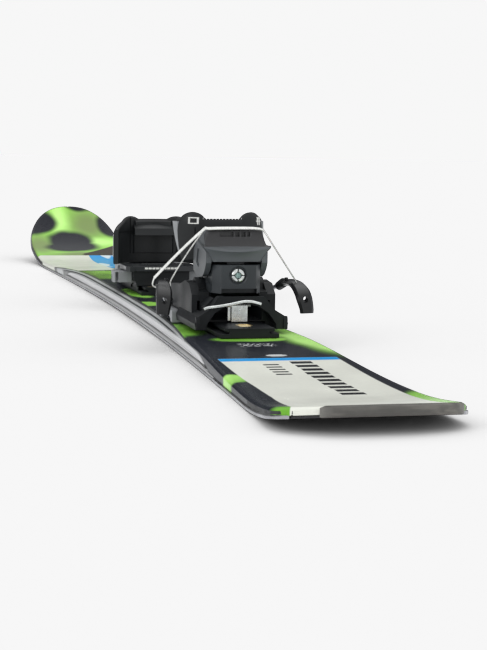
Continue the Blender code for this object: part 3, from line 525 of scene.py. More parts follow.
def build_base_sheet(material):
    rings = []
    for station in cap_stations():
        y, half = at_station(station, 0.0024)
        height = base_height(y)
        rings.append([(-half, y, height + 0.0001), (half, y, height + 0.0001),
                      (half, y, height + 0.0013), (-half, y, height + 0.0013)])
    ski_piece("running_base", rings, material, ("base_sheet",))


PROTECTOR_FRONT, PROTECTOR_LEFT_FRONT, PROTECTOR_STEP = -0.6325, -0.6405, -0.0235


def build_protector(material):
    """The moulded tail guard, narrower on its left, with bevelled edges."""
    tail = [at_station(("tail", end_angle(i / TAIL_STEPS, 0.01)), -0.0002) for i in range(TAIL_STEPS + 1)]
    behind = [(half, y) for y, half in tail if y < PROTECTOR_FRONT - 0.0003]
    front_half = half_width(PROTECTOR_FRONT)
    outline = [(front_half + 0.0001, PROTECTOR_FRONT)] + behind + [(-x, y) for x, y in reversed(behind)]
    outline = [p for p in outline if not (p[0] < PROTECTOR_STEP and p[1] > PROTECTOR_LEFT_FRONT)]
    outline += [(PROTECTOR_STEP - 0.0035, PROTECTOR_LEFT_FRONT), (PROTECTOR_STEP, PROTECTOR_FRONT)]
    levels = ((0.0004, 0.0, 0), (0.0, 0.0006, 0), (0.0, -0.0009, 1), (0.001, 0.0002, 1))
    rings = []
    for inset, offset, on_top in levels:
        ring = []
        for x, y in inset_outline(outline, inset):
            ring.append((x, y, (top_height(y) if on_top else base_height(y)) + offset))
        rings.append(ring)
    ski_piece("tail_guard", rings, material, ("tail_protector",))


def inset_outline(outline, distance):
    """A closed outline's outline moved inwards, along the mean normal of the two sides at each."""
    outline = [Vector((p[0], p[1])) for p in outline]
    area = sum(a.x * b.y - b.x * a.y for a, b in zip(outline, outline[1:] + outline[:1]))
    way = 1 if area > 0 else -1
    moved = []
    for i, point in enumerate(outline):
        before = (point - outline[i - 1]).normalized()
        after = (outline[(i + 1) % len(outline)] - point).normalized()
        normal = Vector((-(before.y + after.y), before.x + after.x)) * way
        if normal.length < 1e-6:
            moved.append(point)
            continue
        normal.normalize()
        spread = max(0.35, normal.dot(Vector((-after.y, after.x)) * way))
        moved.append(point + normal * distance / spread)
    return moved


# --- The print on the cap ---


def topsheet_paint():
    """Soft-edged lime and near-black camouflage, an off-white panel at each end and a blue line."""
    paint = Paint("topsheet_print", (0.02, 0.02, 0.03), 0.16)
    x, y, _ = paint.place()
    wobble = paint.math("MULTIPLY", paint.math("SUBTRACT", paint.noise(30, 1), 0.5), 0.01)
    wx, wy = paint.math("ADD", x, wobble), paint.math("SUBTRACT", y, wobble)

    def blobs(spots, soft=0.22):
        """1 inside any of the ellipses."""
        masks = []
        for cx, cy, rx, ry in spots:
            across = paint.math("DIVIDE", paint.math("SUBTRACT", wx, cx), rx)
            along = paint.math("DIVIDE", paint.math("SUBTRACT", wy, cy), ry)
            distance = paint.math("SQRT", paint.math("MULTIPLY_ADD", across, across,
                                                     paint.math("MULTIPLY", along, along)))
            masks.append(paint.step(distance, 1 + soft, 1 - soft))
        return paint.either(masks)

    ground = linear(34, 37, 44)
    patches = paint.step(paint.noise(16, 2), 0.4, 0.62)
    streaks = paint.step(paint.noise(14, 1, paint.stretched((1.8, 0.5, 1))), 0.52, 0.66)
    shade = paint.mix(streaks, paint.mix(patches, LIME, DEEP_LIME), PALE_LIME)
    colour = paint.mix(blobs(BODY_SPOTS), ground, shade)

    olive = linear(126, 148, 88)
    shovel_shade = paint.mix(blobs(OLIVE_SPOTS, 0.7), LIME, olive)
    shovel_shade = paint.mix(blobs(PALE_SPOTS, 0.8), shovel_shade, PALE_LIME)
    shovel_shade = paint.mix(blobs(SHOVEL_SPOTS), shovel_shade, linear(24, 26, 34))
    colour = paint.mix(paint.step(y, SHOVEL_Y - 0.0006, SHOVEL_Y + 0.001), colour, shovel_shade)
    band = paint.both(paint.step(wy, 0.12, 0.15), paint.step(y, 0.252, 0.248))
    band_shade = paint.mix(paint.step(wx, -0.05, -0.008), linear(58, 78, 34), linear(134, 186, 70))
    band_shade = paint.mix(paint.step(wx, 0.016, 0.036), band_shade, linear(52, 70, 34))
    colour = paint.mix(band, colour, paint.mix(streaks, band_shade, linear(96, 138, 58)))

    tail_panel = paint.both(paint.step(y, TAIL_PANEL_FRONT, TAIL_PANEL_FRONT - 0.0008),
                            paint.step(y, -0.646, -0.6455), paint.beyond(x, y, TAIL_PANEL_LEFT),
                            paint.math("SUBTRACT", 1.0, paint.beyond(x, y, TAIL_PANEL_RIGHT)))
    colour = paint.mix(tail_panel, colour, linear(227, 228, 218))
    blue = linear(24, 152, 224)
    line = paint.both(tail_panel, paint.step(y, BLUE_LINE_REAR, BLUE_LINE_REAR + 0.0008))
    colour = paint.mix(line, colour, blue)

    edge = paint.beyond(x, y, FAR_PANEL_RIGHT)
    far = paint.both(paint.beyond(y, x, FAR_PANEL_NEAR), paint.step(y, SHOVEL_Y + 0.0006, SHOVEL_Y))
    colour = paint.mix(paint.both(far, paint.math("SUBTRACT", 1.0, edge)), colour, linear(222, 224, 212))
    wedge = paint.both(paint.step(y, 0.315, 0.316), paint.step(y, SHOVEL_Y + 0.0006, SHOVEL_Y), edge)
    water = paint.step(paint.noise(60, 1, paint.stretched((1.0, 0.22, 1.0))), 0.54, 0.6)
    colour = paint.mix(wedge, colour, paint.mix(water, blue, linear(218, 232, 238)))
    wedge_top = paint.both(paint.step(y, SHOVEL_Y, SHOVEL_Y + 0.0006), paint.step(x, 0.0, 0.006),
                           paint.math("SUBTRACT", 1.0, paint.beyond(y, x, SHOVEL_WEDGE)))
    brown = paint.mix(paint.noise(60, 2), linear(20, 26, 14), linear(60, 38, 20))
    colour = paint.mix(wedge_top, colour, brown)

    for low_x, high_x, low_y, high_y in BARS:
        bar = paint.both(paint.stripe(x, low_x, high_x, 0.0002), paint.stripe(y, low_y, high_y, 0.0003))
        colour = paint.mix(bar, colour, linear(34, 35, 38))
    badge = paint.either([paint.both(paint.stripe(x, 0.0005 - half, 0.0005 + half, 0.0008),
                                     paint.stripe(y, -0.427 - depth, -0.427 + depth, 0.0006))
                          for half, depth in ((0.0066, 0.002), (0.0045, 0.0034))])
    specks = paint.both(paint.stripe(y, -0.3925, -0.3795, 0.001), paint.stripe(x, -0.014, 0.01, 0.002),
                        paint.step(paint.noise(520, 2), 0.54, 0.58))
    colour = paint.mix(paint.either([badge, specks]), colour, linear(206, 208, 208))
    inset, along, _ = paint.uv("edge")
    shoulder = paint.both(paint.step(along, -0.39, -0.37), paint.step(along, 0.43, 0.4),
                          paint.step(inset, 1.02, 0.98))
    stripes = paint.mix(paint.stripe(inset, 0.16, 0.3, 0.03), linear(178, 180, 180), linear(70, 72, 72))
    stripes = paint.mix(paint.stripe(inset, 0.62, 1.1, 0.05), stripes, linear(66, 68, 68))
    stripes = paint.mix(paint.stripe(inset, 0.74, 0.82, 0.03), stripes, linear(104, 106, 104))
    colour = paint.mix(shoulder, colour, stripes)
    dust = paint.math("MULTIPLY", paint.step(paint.noise(420, 3), 0.35, 0.75), 0.05)
    colour = paint.mix(dust, colour, linear(120, 122, 125))

    paint.set("Base Color", colour)
    paint.vary("Roughness", 0.16, 0.28, paint.noise(25, 4))
    paint.set("Specular IOR Level", 0.1)
    paint.bump(paint.noise(900, 2), 0.03, 0.00002)
    return paint.material


LIME, PALE_LIME, DEEP_LIME = linear(150, 212, 88), linear(196, 250, 140), linear(104, 168, 48)
SHOVEL_Y, TAIL_PANEL_FRONT, BLUE_LINE_REAR = 0.5088, -0.4354, -0.4452
# Spots of colour, each the x and y of its centre and then its two radii
BODY_SPOTS = metres(
    "-50 -499 18 12, -50 -640 28 22, 50 -594 14.5 38, 56 -330 34 100, 0 -360 26 12, -42 -298 23 40, "
    "-28 -115 12 18, 43 -120 16 50, -21 -18 11 42, 42 30 10 30, 40 190 10 30")
SHOVEL_SPOTS = metres("-6 560 29 30, -6 546 34 19, -45 610 26 28, 50 602 18 26, 16 647 20 15")
OLIVE_SPOTS = metres("20 606 24 30, -47 552 18 28, 5 514 40 10")
PALE_SPOTS = metres("-15 618 10 34, 30 560 22 12")
TAIL_PANEL_LEFT = metres(
    "-52 -646, -44 -625, -41.5 -607, -38.1 -563, -38.1 -529, -39.2 -502, -39.7 -464, -39.8 -435")
TAIL_PANEL_RIGHT = metres("40.6 -646, 39.8 -557, 37.6 -435")
FAR_PANEL_RIGHT = metres("7.8 240, 8 315, 9.3 510")
FAR_PANEL_NEAR = metres("248 -60, 248 -52, 257 -34, 265 0, 265 60")
SHOVEL_WEDGE = metres("509.4 -10, 515 0, 518 3.6, 548 44, 560 60")
# Plain blocks where the real ski has lettering
BARS = ([(0.003 + 0.0004 * (i % 3), 0.017 + 0.0005 * (i % 2), -0.456 - 0.0117 * i, -0.4485 - 0.0117 * i)
         for i in range(10)]
        + [(-0.016, -0.006, -0.4595 - 0.0078 * i, -0.456 - 0.0078 * i) for i in range(5)])


def sidewall_paint():
    """Grey sidewall in two bands, with scuffs along the ski, and dark lines along it that are painted shade
    standing in for the shade in the groove of the sculpted side.
    """
    paint = Paint("sidewall_grey", linear(150, 150, 152), 0.38)
    v = paint.uv("wall")[1]
    scuff = paint.noise(300, 4, paint.stretched((1.0, 0.05, 1.0)))
    colour = paint.mix(paint.step(v, 0.0056, 0.006), linear(168, 168, 168), linear(196, 196, 197))
    # painted shade: a darker grey line along the side, standing in for shade in the sculpted wall
    colour = paint.mix(paint.stripe(v, 0.0028, 0.0034, 0.0002), colour, linear(120, 120, 121))
    scuffed = paint.math("MULTIPLY", paint.step(scuff, 0.45, 0.75), 0.35)
    colour = paint.mix(scuffed, colour, linear(205, 205, 206))
    # painted shade: a near-black band along the side, standing in for the shade in the groove
    colour = paint.mix(paint.stripe(v, 0.004, 0.0058, 0.0002), colour, linear(16, 16, 17))
    return paint.finished(colour, (0.28, 0.5, scuff), (scuff, 0.25, 0.00008))


def base_paint():
    """Black sintered base with fine stone-ground lines along its length."""
    paint = Paint("base_black", linear(22, 22, 24), 0.3)
    lines = paint.noise(900, 2, paint.stretched((1.0, 0.01, 1.0)))
    return paint.finished(paint.mix(paint.step(lines, 0.4, 0.7), linear(18, 18, 20), linear(42, 42, 45)),
                          (0.22, 0.42, lines), (lines, 0.4, 0.00004))


def protector_paint():
    """Dark grey-brown rubbery guard, scuffed along its length."""
    paint = Paint("protector_grey", linear(84, 82, 78), 0.5)
    streaks = paint.noise(220, 5, paint.stretched((0.12, 1.0, 1.0)))
    worn = paint.mix(paint.step(streaks, 0.4, 0.72), linear(70, 68, 64), linear(116, 112, 105))
    return paint.finished(paint.mix(paint.pointed(0.6), worn, linear(170, 168, 162)),
                          (0.36, 0.6, streaks), (streaks, 0.35, 0.0001))


# --- Solids: closed shells joined and cut, with their hard edges rounded ---

ROUNDING_ANGLE, SOLID_SMOOTH_ANGLE = radians(30), 40


class Solid:
    """One piece, made of closed shells and cutters. All its lengths are in millimetres."""

    def __init__(self):
        self.shells, self.cutters = [], []

    def rings(self, rings, cut=False):
        in_metres = [[[length / PER_METRE for length in point] for point in ring] for ring in rings]
        mesh = closed_mesh("shell", in_metres)
        (self.cutters if cut else self.shells).append(mesh)

    def plate(self, outline, plane, low, high, cut=False):
        """An outline of two coordinates, pulled along the third axis from low to high."""
        place = {"YZ": lambda a, b, c: (c, a, b), "XZ": lambda a, b, c: (a, c, b),
                 "XY": lambda a, b, c: (a, b, c)}
        self.rings([[place[plane](a, b, c) for a, b in outline] for c in (low, high)], cut)

    def box(self, low, high, cut=False):
        corners = [(low[0], low[1]), (high[0], low[1]), (high[0], high[1]), (low[0], high[1])]
        self.plate(corners, "XY", low[2], high[2], cut)

    def cut_boxes(self, table):
        """Cuts boxes given as text: the three numbers of a low corner, then of its high corner."""
        for corners in points(table):
            self.box(corners[:3], corners[3:], cut=True)

    def side(self, outline, cut=False, stations=(-1, 1)):
        """A solid across the ski: outline points are (y, z, half width, shift of y and of z at the ends)."""
        rings = []
        for share in stations:
            ring = []
            for y, z, half, *bow in outline:
                dy, dz = bow or (0, 0)
                ring.append((share * half, y + dy * share ** 2, z + dz * share ** 2))
            rings.append(ring)
        self.rings(rings, cut)

    def flanks(self, outline, near, far, cut=False):
        """A side view's outline as a plate on each side of the ski, from near to far across it."""
        for side in (-1, 1):
            self.plate(outline, "YZ", *sorted((side * near, side * far)), cut)

    def cross_rod(self, place, reach, radius, sides, cut=False):
        self.rod((-reach, *place), (reach, *place), radius, sides, cut=cut)

    def rod(self, start, end, radius, sides=20, end_radius=None, cut=False):
        start, end = Vector(start), Vector(end)
        turn = (end - start).to_track_quat("Z", "Y")
        angles = [2 * pi * i / sides for i in range(sides)]
        self.rings([[place + turn @ Vector((size * cos(angle), size * sin(angle), 0)) for angle in angles]
                    for place, size in ((start, radius), (end, end_radius or radius))], cut)

    def make(self, name, material, body, replaces=(), bevel=0.4):
        pieces = [bpy.data.objects.new("shell", mesh) for mesh in self.shells + self.cutters]
        for piece in pieces:
            SCENE.collection.objects.link(piece)
        target = pieces[0]
        for i, piece in enumerate(pieces[1:], 1):
            boolean = target.modifiers.new("join", "BOOLEAN")
            boolean.operation = "UNION" if i < len(self.shells) else "DIFFERENCE"
            boolean.solver = "EXACT"
            boolean.object = piece
        if bevel:
            add_rounding(target, bevel / PER_METRE)
        mesh = bpy.data.meshes.new_from_object(target.evaluated_get(bpy.context.evaluated_depsgraph_get()))
        for piece in pieces:
            bpy.data.objects.remove(piece)
        mesh.name = name
        made = finish_piece(name, mesh, material, body, replaces, SOLID_SMOOTH_ANGLE)
        made.modifiers.new("shading", "WEIGHTED_NORMAL").keep_sharp = True


def add_rounding(piece, width, segments=2):
    weld = piece.modifiers.new("weld", "WELD")
    weld.merge_threshold = 0.00002
    bevel = piece.modifiers.new("rounding", "BEVEL")
    bevel.width, bevel.segments = width, segments
    bevel.limit_method, bevel.angle_limit = "ANGLE", ROUNDING_ANGLE


def spanned(side, near, far, along, heights):
    """A box's corners on one side of the ski, from near to far across it."""
    low, high = sorted((side * near, side * far))
    return (low, along[0], heights[0]), (high, along[1], heights[1])


def both_sides(half):
    """An outline given for x above 0, with its mirror image added."""
    return list(half) + [(-x, z) for x, z in reversed(half)]


def smooth_route(places, steps):
    """Points along a smooth curve through the given ones."""
    places = [Vector(p) for p in places]
    ends = [2 * places[0] - places[1], *places, 2 * places[-1] - places[-2]]
    route = []
    for a, b, c, d in zip(ends, ends[1:], ends[2:], ends[3:]):
        for i in range(steps):
            t = i / steps
            route.append(0.5 * (2 * b + (c - a) * t + (2 * a - 5 * b + 4 * c - d) * t ** 2
                                + (3 * b - a - 3 * c + d) * t ** 3))
    return route + [places[-1]]


def ribbon_rings(route, width, thick, across, corner=0.3):
    """Rounded flat sections along a route; across gives the width's direction at a share of its length."""
    rings = []
    for i, place in enumerate(route):
        along = (route[min(i + 1, len(route) - 1)] - route[max(i - 1, 0)]).normalized()
        share = i / (len(route) - 1)
        side = across(share)
        side = (side - along * side.dot(along)).normalized()
        out = along.cross(side)
        w, t = (width(share) if callable(width) else width) / 2, thick / 2
        cut = corner * thick
        shape = [(-w + cut, -t), (w - cut, -t), (w, -t + cut), (w, t - cut),
                 (w - cut, t), (-w + cut, t), (-w, t - cut), (-w, -t + cut)]
        rings.append([place + side * a + out * b for a, b in shape])
    return rings


# --- Heel piece ---

# Places in a side view are (y, z)
HEEL_PIVOT, LEVER_PIN, BRAKE_AXLE = (-290, 44), (-308, 66.5), (-236, 28)
HOUSING_REAR, HOUSING_FRONT = -321, -275
SCREW_Z = 54
TRACK_SLOT = ((17.6, 12), (17.6, 17.3), (20.9, 17.6), (20.9, 21.3))


def build_lever(material):
    """The opening lever: a scoop with a flared lip, a ribbed recess under its rim, and a flank each side."""
    lever = Solid()
    outline = points(
            "-318.2 63.4 16.2 1 0, -318.4 66 18 1 0, -319 68.6 20.5 1.2 1, -320.6 70.4 23.8 2.2 2.6, "
            "-320 71.6 24.3 2.2 2.8, -316.4 72 23.2 1.4 2.4, -312.8 73.4 22.2 1 1.4, "
            "-310.6 77.2 21.4 0.8 0.4, -308.8 84.2 20 1 -0.4, -307.4 86.6 19 1.2 -1.2, "
            "-304.5 87.2 18.4 0.6 -1.4, -295 83.8 20, -280 77 20.8, -277.2 70 21, -279 64 21, "
            "-312 64 19.6, -316 63.2 17.2")
    lever.side(outline, stations=[-1 + i / 6 for i in range(13)])
    flank = points(
            "-316 70.4, -316 62.5, -313 58, -308 54, -302 51.8, -284 51.8, -274 54.5, -273 60, -273.5 69, "
            "-283 76.5")
    dent = points("-299 70.6, -299.5 64, -290.5 57.2, -283 61, -287 71.2")
    lever.flanks(flank, 18.2, 22.2)
    lever.flanks(dent, 21.2, 24, cut=True)
    for low, high in ((-11, -1), (0.2, 3.4), (4.6, 7.8), (9, 11.2)):
        lever.box((low, -311.5, 80.6), (high, -307, 83.8), cut=True)
    lever.cut_boxes("-6.5 -313.5 60 6.5 -302 71")
    lever.cross_rod(LEVER_PIN, 16, 1.8, 12, cut=True)
    lever.cut_boxes("-15 -298.5 60 15 -270 68, -15.5 -279 60 15.5 -265 90")
    lever.make("scoop_lever", material, "lever", ("heel_lever",), 0.6)


def build_housing(material):
    housing = Solid()
    across = [(-17.8, HOUSING_FRONT), (-17.8, -310), (-16.6, -312.8), (-12.2, -320.6),
              (-11.2, HOUSING_REAR), (12.2, HOUSING_REAR), (13.2, -320.6), (17.2, -315),
              (17.8, -313), (17.8, HOUSING_FRONT)]
    housing.plate(across, "XY", 41.2, 61.2)
    housing.plate(points(
            "-312.5 59, -312.5 66.5, -310.8 69.7, -305.2 69.7, -303.5 66.5, -303.5 59"), "YZ", -6, 6)
    housing.cross_rod(HEEL_PIVOT, 17.8, 6.8, 24)
    housing.cut_boxes("-11.8 -323 40 14 -315 44.6, -30 -330 39.8 30 -297.2 41")
    housing.rod((0, -323, SCREW_Z), (0, -319.2, SCREW_Z), 5.8, 32, cut=True)
    housing.rod((0, -321.6, SCREW_Z), (0, -320.2, SCREW_Z), 7.4, 32, 5.8, cut=True)
    housing.rod((0, -320, SCREW_Z), (0, -278.5, SCREW_Z), 4.6, 24, cut=True)
    housing.cross_rod(HEEL_PIVOT, 30, 3.3, 20, cut=True)
    housing.cross_rod(LEVER_PIN, 30, 1.8, 12, cut=True)
    for x in (-17.6, 17.6):
        housing.box((x - 0.5, -312, 47), (x + 0.5, -299, 58), cut=True)
    housing.make("spring_housing", material, "heel", ("heel_housing",), 0.5)


def cup_rings(centre_y, angles, profile, depth=1.0, power=2.0):
    """Upright sections round a cup; profile(angle) gives (radius, z) points. A depth below 1 makes it
    shallow, and a power above 2 squares its corners."""
    rings = []
    for angle in angles:
        reach = (abs(cos(angle)) ** power + abs(sin(angle)) ** power) ** (-1 / power)
        way = Vector((cos(angle), sin(angle) * depth, 0)) * reach
        rings.append([Vector((0, centre_y, z)) + way * radius for radius, z in profile(angle)])
    return rings


def crest(across, valley, peak, side, bump_place=0.5, bump_reach=0.26):
    """Height along a cup's top edge: a valley in the middle, a bump each side, then rounded shoulders."""
    bump = max(0.0, 1 - ((abs(across) - bump_place) / bump_reach) ** 2) ** 0.8
    shoulder = max(0.0, (abs(across) - bump_place - 0.08) / (0.92 - bump_place))
    return valley + (peak - valley) * bump + (side - valley) * min(1.0, shoulder) ** 1.6


def degrees_between(first, last, count):
    return [radians(first + (last - first) * i / count) for i in range(count + 1)]


CUP_CENTRE_Y, CUP_OUTER, CUP_INNER = -246, 34.5, 29
CUP_SHAPE = (0.76, 3.0)  # depth and power of its outline


def build_heel_cup(material, pale, white):
    """The cup over the boot's heel: a shallow wall with two humps, a serrated valley and slanted wings."""
    cup = Solid()

    def wall(angle):
        top = crest(cos(angle), 91.2, 96, 92.5, 0.62, 0.22)
        low = 64 - 4 * abs(cos(angle))
        out = CUP_OUTER
        return [(CUP_INNER + 0.2, low), (out - 1, low), (out - 0.4, low + 4), (out, low + 8),
                (out, top - 9), (out - 0.6, top - 4), (out - 1.7, top - 1.2),
                (out - 3, top), (CUP_INNER + 1.2, top - 0.2), (CUP_INNER + 0.2, top - 1.2),
                (CUP_INNER, top - 6)]

    cup.rings(cup_rings(CUP_CENTRE_Y, degrees_between(-160, -20, 64), wall, *CUP_SHAPE))
    cup.side(points(
            "-274.8 42.5 15, -256 44 15, -256 47 15, -264 52 14, -266 80 14, -272 80 14, -274.8 70 15"))
    cup.side(points("-264 58 50, -264 62 50, -254 99 50, -240 99 50, -240 58 50"), cut=True)
    for i in range(13):  # serrated valley
        x = -14.4 + 2.4 * i
        cup.box((x - 0.5, -276, 90.6), (x + 0.5, -260, 92.2), cut=True)
    for side in (-1, 1):  # shallow upright grooves on the rear face
        for x in (20.5, 24.5):
            cup.box((side * x - 0.5, -276, 69), (side * x + 0.5, -269.4, 85), cut=True)
    cup.make("heel_cup_shell", material, "heel", ("heel_cup",), 0.4)

    trim = Solid()  # a pale strip down each wing's edge, narrowing to its foot
    for side in (-1, 1):
        rings = []
        for share in (0.0, 0.25, 0.5, 0.75, 1.0):
            z = 65.5 + 23.5 * share
            front = -263.4 + 9 * share
            rear = front - 0.8 - 6.2 * share ** 1.5
            ring = []
            for y, out in ((front, 0.2), (rear, 0.2), (rear, -2.2), (front, -2.2)):
                deep = min(0.999, abs(y - CUP_CENTRE_Y) / (CUP_OUTER * CUP_SHAPE[0]))
                x = CUP_OUTER * (1 - deep ** CUP_SHAPE[1]) ** (1 / CUP_SHAPE[1])
                ring.append((side * (x + out), y, z))
            rings.append(ring)
        trim.rings(rings)
    trim.make("cup_wing_trim", pale, "heel", (), 0)

    marks = Solid()  # plain frames and bars where the real cup has numbers
    for angles, low, high in (((-131, -119), 87.6, 88.3), ((-131, -119), 91.7, 92.4),
                              ((-131, -129), 87.7, 92.3), ((-121, -119), 87.7, 92.3),
                              ((-46.5, -45), 86.8, 92.5), ((-43, -41.5), 86.8, 92.5),
                              ((-48, -40), 89.3, 89.9)):
        marks.rings(cup_rings(CUP_CENTRE_Y, degrees_between(*angles, 6),
                              lambda _, low=low, high=high: [(CUP_OUTER - 2, low), (CUP_OUTER + 0.2, low),
                                                             (CUP_OUTER + 0.1, high),
                                                             (CUP_OUTER - 2, high)], *CUP_SHAPE))
    marks.make("cup_marks", white, "heel", (), 0)


def build_heel_base(material):
    base = Solid()
    base.plate(both_sides(points(
            "32.6 17.2, 33.2 21.5, 31.2 26.2, 24 30.5, 20.5 34.5, 17.2 39.2, 16 40.2")), "XZ", -333.5, -265)
    base.side(points(
            "-324.5 23 25, -324.5 38.5 23.6, -323 40.2 23.2, -299 42.5 25, -296.2 46.8 25, -293 49.5 25, "
            "-290 50.5 25, -287 49.5 25, -283.8 46.8 25, -266 37 25, -266 23 25"))
    base.box((-30, -268, 24.2), (30, -208, 36.2))
    cheek = points(
            "-308 25.5, -308 39.5, -299 46.4, -283 47.8, -264 43.4, -230 41.3, -220.5 35.8, -220.5 25.5")
    base.flanks(cheek, 24.3, 30.4)
    rib = points("-334.8 17.6, -334.8 24, -334 26.2, -332 26.2, -332 17.6")
    base.flanks(rib, 30, 32.6)
    slope = points("16.8 39.8, 20.5 36.8, 23.8 33.1, 27.5 32.2, 34.5 48, 16 48")
    for side in (-1, 1):
        base.plate([(side * x, z) for x, z in slope], "XZ", -342, -309.5, cut=True)
    base.cut_boxes("-11.8 -330 38.4 16 -313 50, -18.2 -325 22.2 18.2 -270 60")
    base.plate(both_sides(points(
            "24.6 10, 25 20.5, 22.5 24.5, 19 29, 12 33.5, 6 34.8")), "XZ", -336, -318, cut=True)
    base.plate(both_sides(TRACK_SLOT), "XZ", -336, -260, cut=True)
    base.cut_boxes("-17.2 -252.5 25.6 17.2 -200 40")
    base.cross_rod(BRAKE_AXLE, 40, 2.9, 16, cut=True)
    base.cross_rod(HEEL_PIVOT, 30, 3.3, 20, cut=True)
    base.flanks([(-318, 26.2), (-318, 35.2), (-276, 35.2), (-276, 26.2)], 24.4, 26.5, cut=True)
    base.make("heel_arch_casting", material, "heel_carriage", ("heel_base",), 0.5)


def build_bracket(material):
    bracket = Solid()
    bracket.box((-35.2, -263.8, 21.6), (35.2, -214.2, 23.5))
    foot = points(
            "-264 15, -259 15, -256.5 17.2, -253 18.8, -248 19.4, -230 19.4, -225 18.8, -221.3 17.2, "
            "-219 15, -214 15, -214 23.2, -215 23.8, -263 23.8, -264 23.2")
    for side in (-1, 1):
        bracket.plate(foot, "YZ", *sorted((side * 29, side * 35.8)))
        bracket.rod((side * 32.4, -239, 22.5), (side * 32.4, -239, 24.2), 2.2, 16)
    bracket.make("arched_yoke", material, "heel_carriage", ("brake_bracket",), 0.5)


def build_lock(material):
    """The bowed leaf spring and the tongue it presses down."""
    bow = points(
            "-27 -334.2 31.8, -24 -334.3 32.8, -16 -334.5 33.8, -8.7 -334.7 35, -2 -335 36.4, "
            "2.1 -335 37, 6.8 -334.9 36.8, 11 -334.7 35.8, 13.5 -334.6 35")
    strip = Solid()
    strip.rings(ribbon_rings(smooth_route(bow, 4), 1.9, 1.1, lambda share: Vector((0, 0, 1))))
    strip.make("lock_leaf_spring", material, "heel_carriage", ("heel_lock_spring",), 0)
    tongue = Solid()
    tongue.box((-5.2, -324.5, 21.8), (6.2, -321.9, 33))
    tongue.box((-7.8, -324.1, 22.6), (-6, -322.1, 33))
    tongue.rod((-8.5, -323.2, 33), (8.5, -323.2, 33), 1.3, 16)
    tongue.cut_boxes("-4 -325 25 5 -324.3 25.5, -4 -325 29.2 5 -324.3 29.6")
    tongue.make("lock_tongue", material, "heel_lock", ("heel_lock_tongue",), 0.3)


PADDLE_ROUTE = points(
        "46.2 -272 43.8, 47 -280 45.6, 48 -290 46, 49.2 -300 44.6, 50.2 -308 41, 51 -312.4 36, "
        "52 -314.6 30, 52.2 -315 26.4")
PADDLE_WIDTHS = (4.4, 6, 8.4, 10.4, 11.4, 11.2, 9.8, 9.2)
ARM_ROUTE = points(
        "10 -210 30.2, 12 -229 29.6, 14 -235 28.6, 17 -236 28, 33 -236 28, 36 -238.5 29.5, "
        "41.5 -251 37.5, 45 -263 42, 46.05 -271.1 43.8")


def build_paddles(material, socket, steel):
    """On each side: a curved fin, the bent steel wire that carries it and the socket between them."""
    for side, word in ((-1, "left"), (1, "right")):
        paddle = Solid()
        route = smooth_route([(side * x, y, z) for x, y, z in PADDLE_ROUTE], 3)

        def width(share):
            place = share * (len(PADDLE_WIDTHS) - 1)
            index = min(int(place), len(PADDLE_WIDTHS) - 2)
            return PADDLE_WIDTHS[index] + (PADDLE_WIDTHS[index + 1] - PADDLE_WIDTHS[index]) * (place - index)

        paddle.rings(ribbon_rings(route, width, 4.2, lambda share: Vector((1, 0, 0)), 0.34))
        x, y, z = side * 51.2, -312.4, 36.6
        paddle.rod((x, y - 6, z - 1.8), (x, y + 6, z + 1.8), 1.9, 16, cut=True)
        paddle.rod((side * 44.9, -285, 45.5), (side * 44.6, -285.2, 49.2), 1.2, 12)
        paddle.make(f"brake_fin_{word}", material, "brake", (f"brake_paddle_{word}",), 0.2)
        arm = Solid()
        wire = smooth_route([(side * x, y, z) for x, y, z in ARM_ROUTE], 4)
        arm.rings(ribbon_rings(wire, 2.6, 2.6, lambda share: Vector((0, 0.3, 1))))
        arm.make(f"brake_wire_{word}", steel, "brake", (f"brake_arm_{word}",), 0)
        sleeve = Solid()
        sleeve.rod((side * 45, -263.5, 41.4), (side * 46.2, -272.2, 44.6), 3.1, 16, 3.4)
        sleeve.make(f"fin_socket_{word}", socket, "brake", (), 0.4)


def build_pedal(material):
    pedal = Solid()
    pedal.side(points(
            "-235 33.4 16, -235 36.8 15.6, -233.5 37.6 15.4, -203 37.6 14.6, -201.2 36.6 14.8, "
            "-201 33.4 15"))
    for i in range(6):
        y = -231 + 5 * i
        pedal.box((-13, y, 37.1), (13, y + 1.8, 38), cut=True)
    pedal.make("brake_treadle", material, "brake", ("brake_pedal",), 0.5)


# --- Toe piece ---

TOE_CENTRE_Y, TOE_INNER, TOE_OUTER = -16.5, 36.5, 41


def toe_crest(angle):
    return crest(cos(angle), 78, 80.6, 69, 0.56, 0.2)


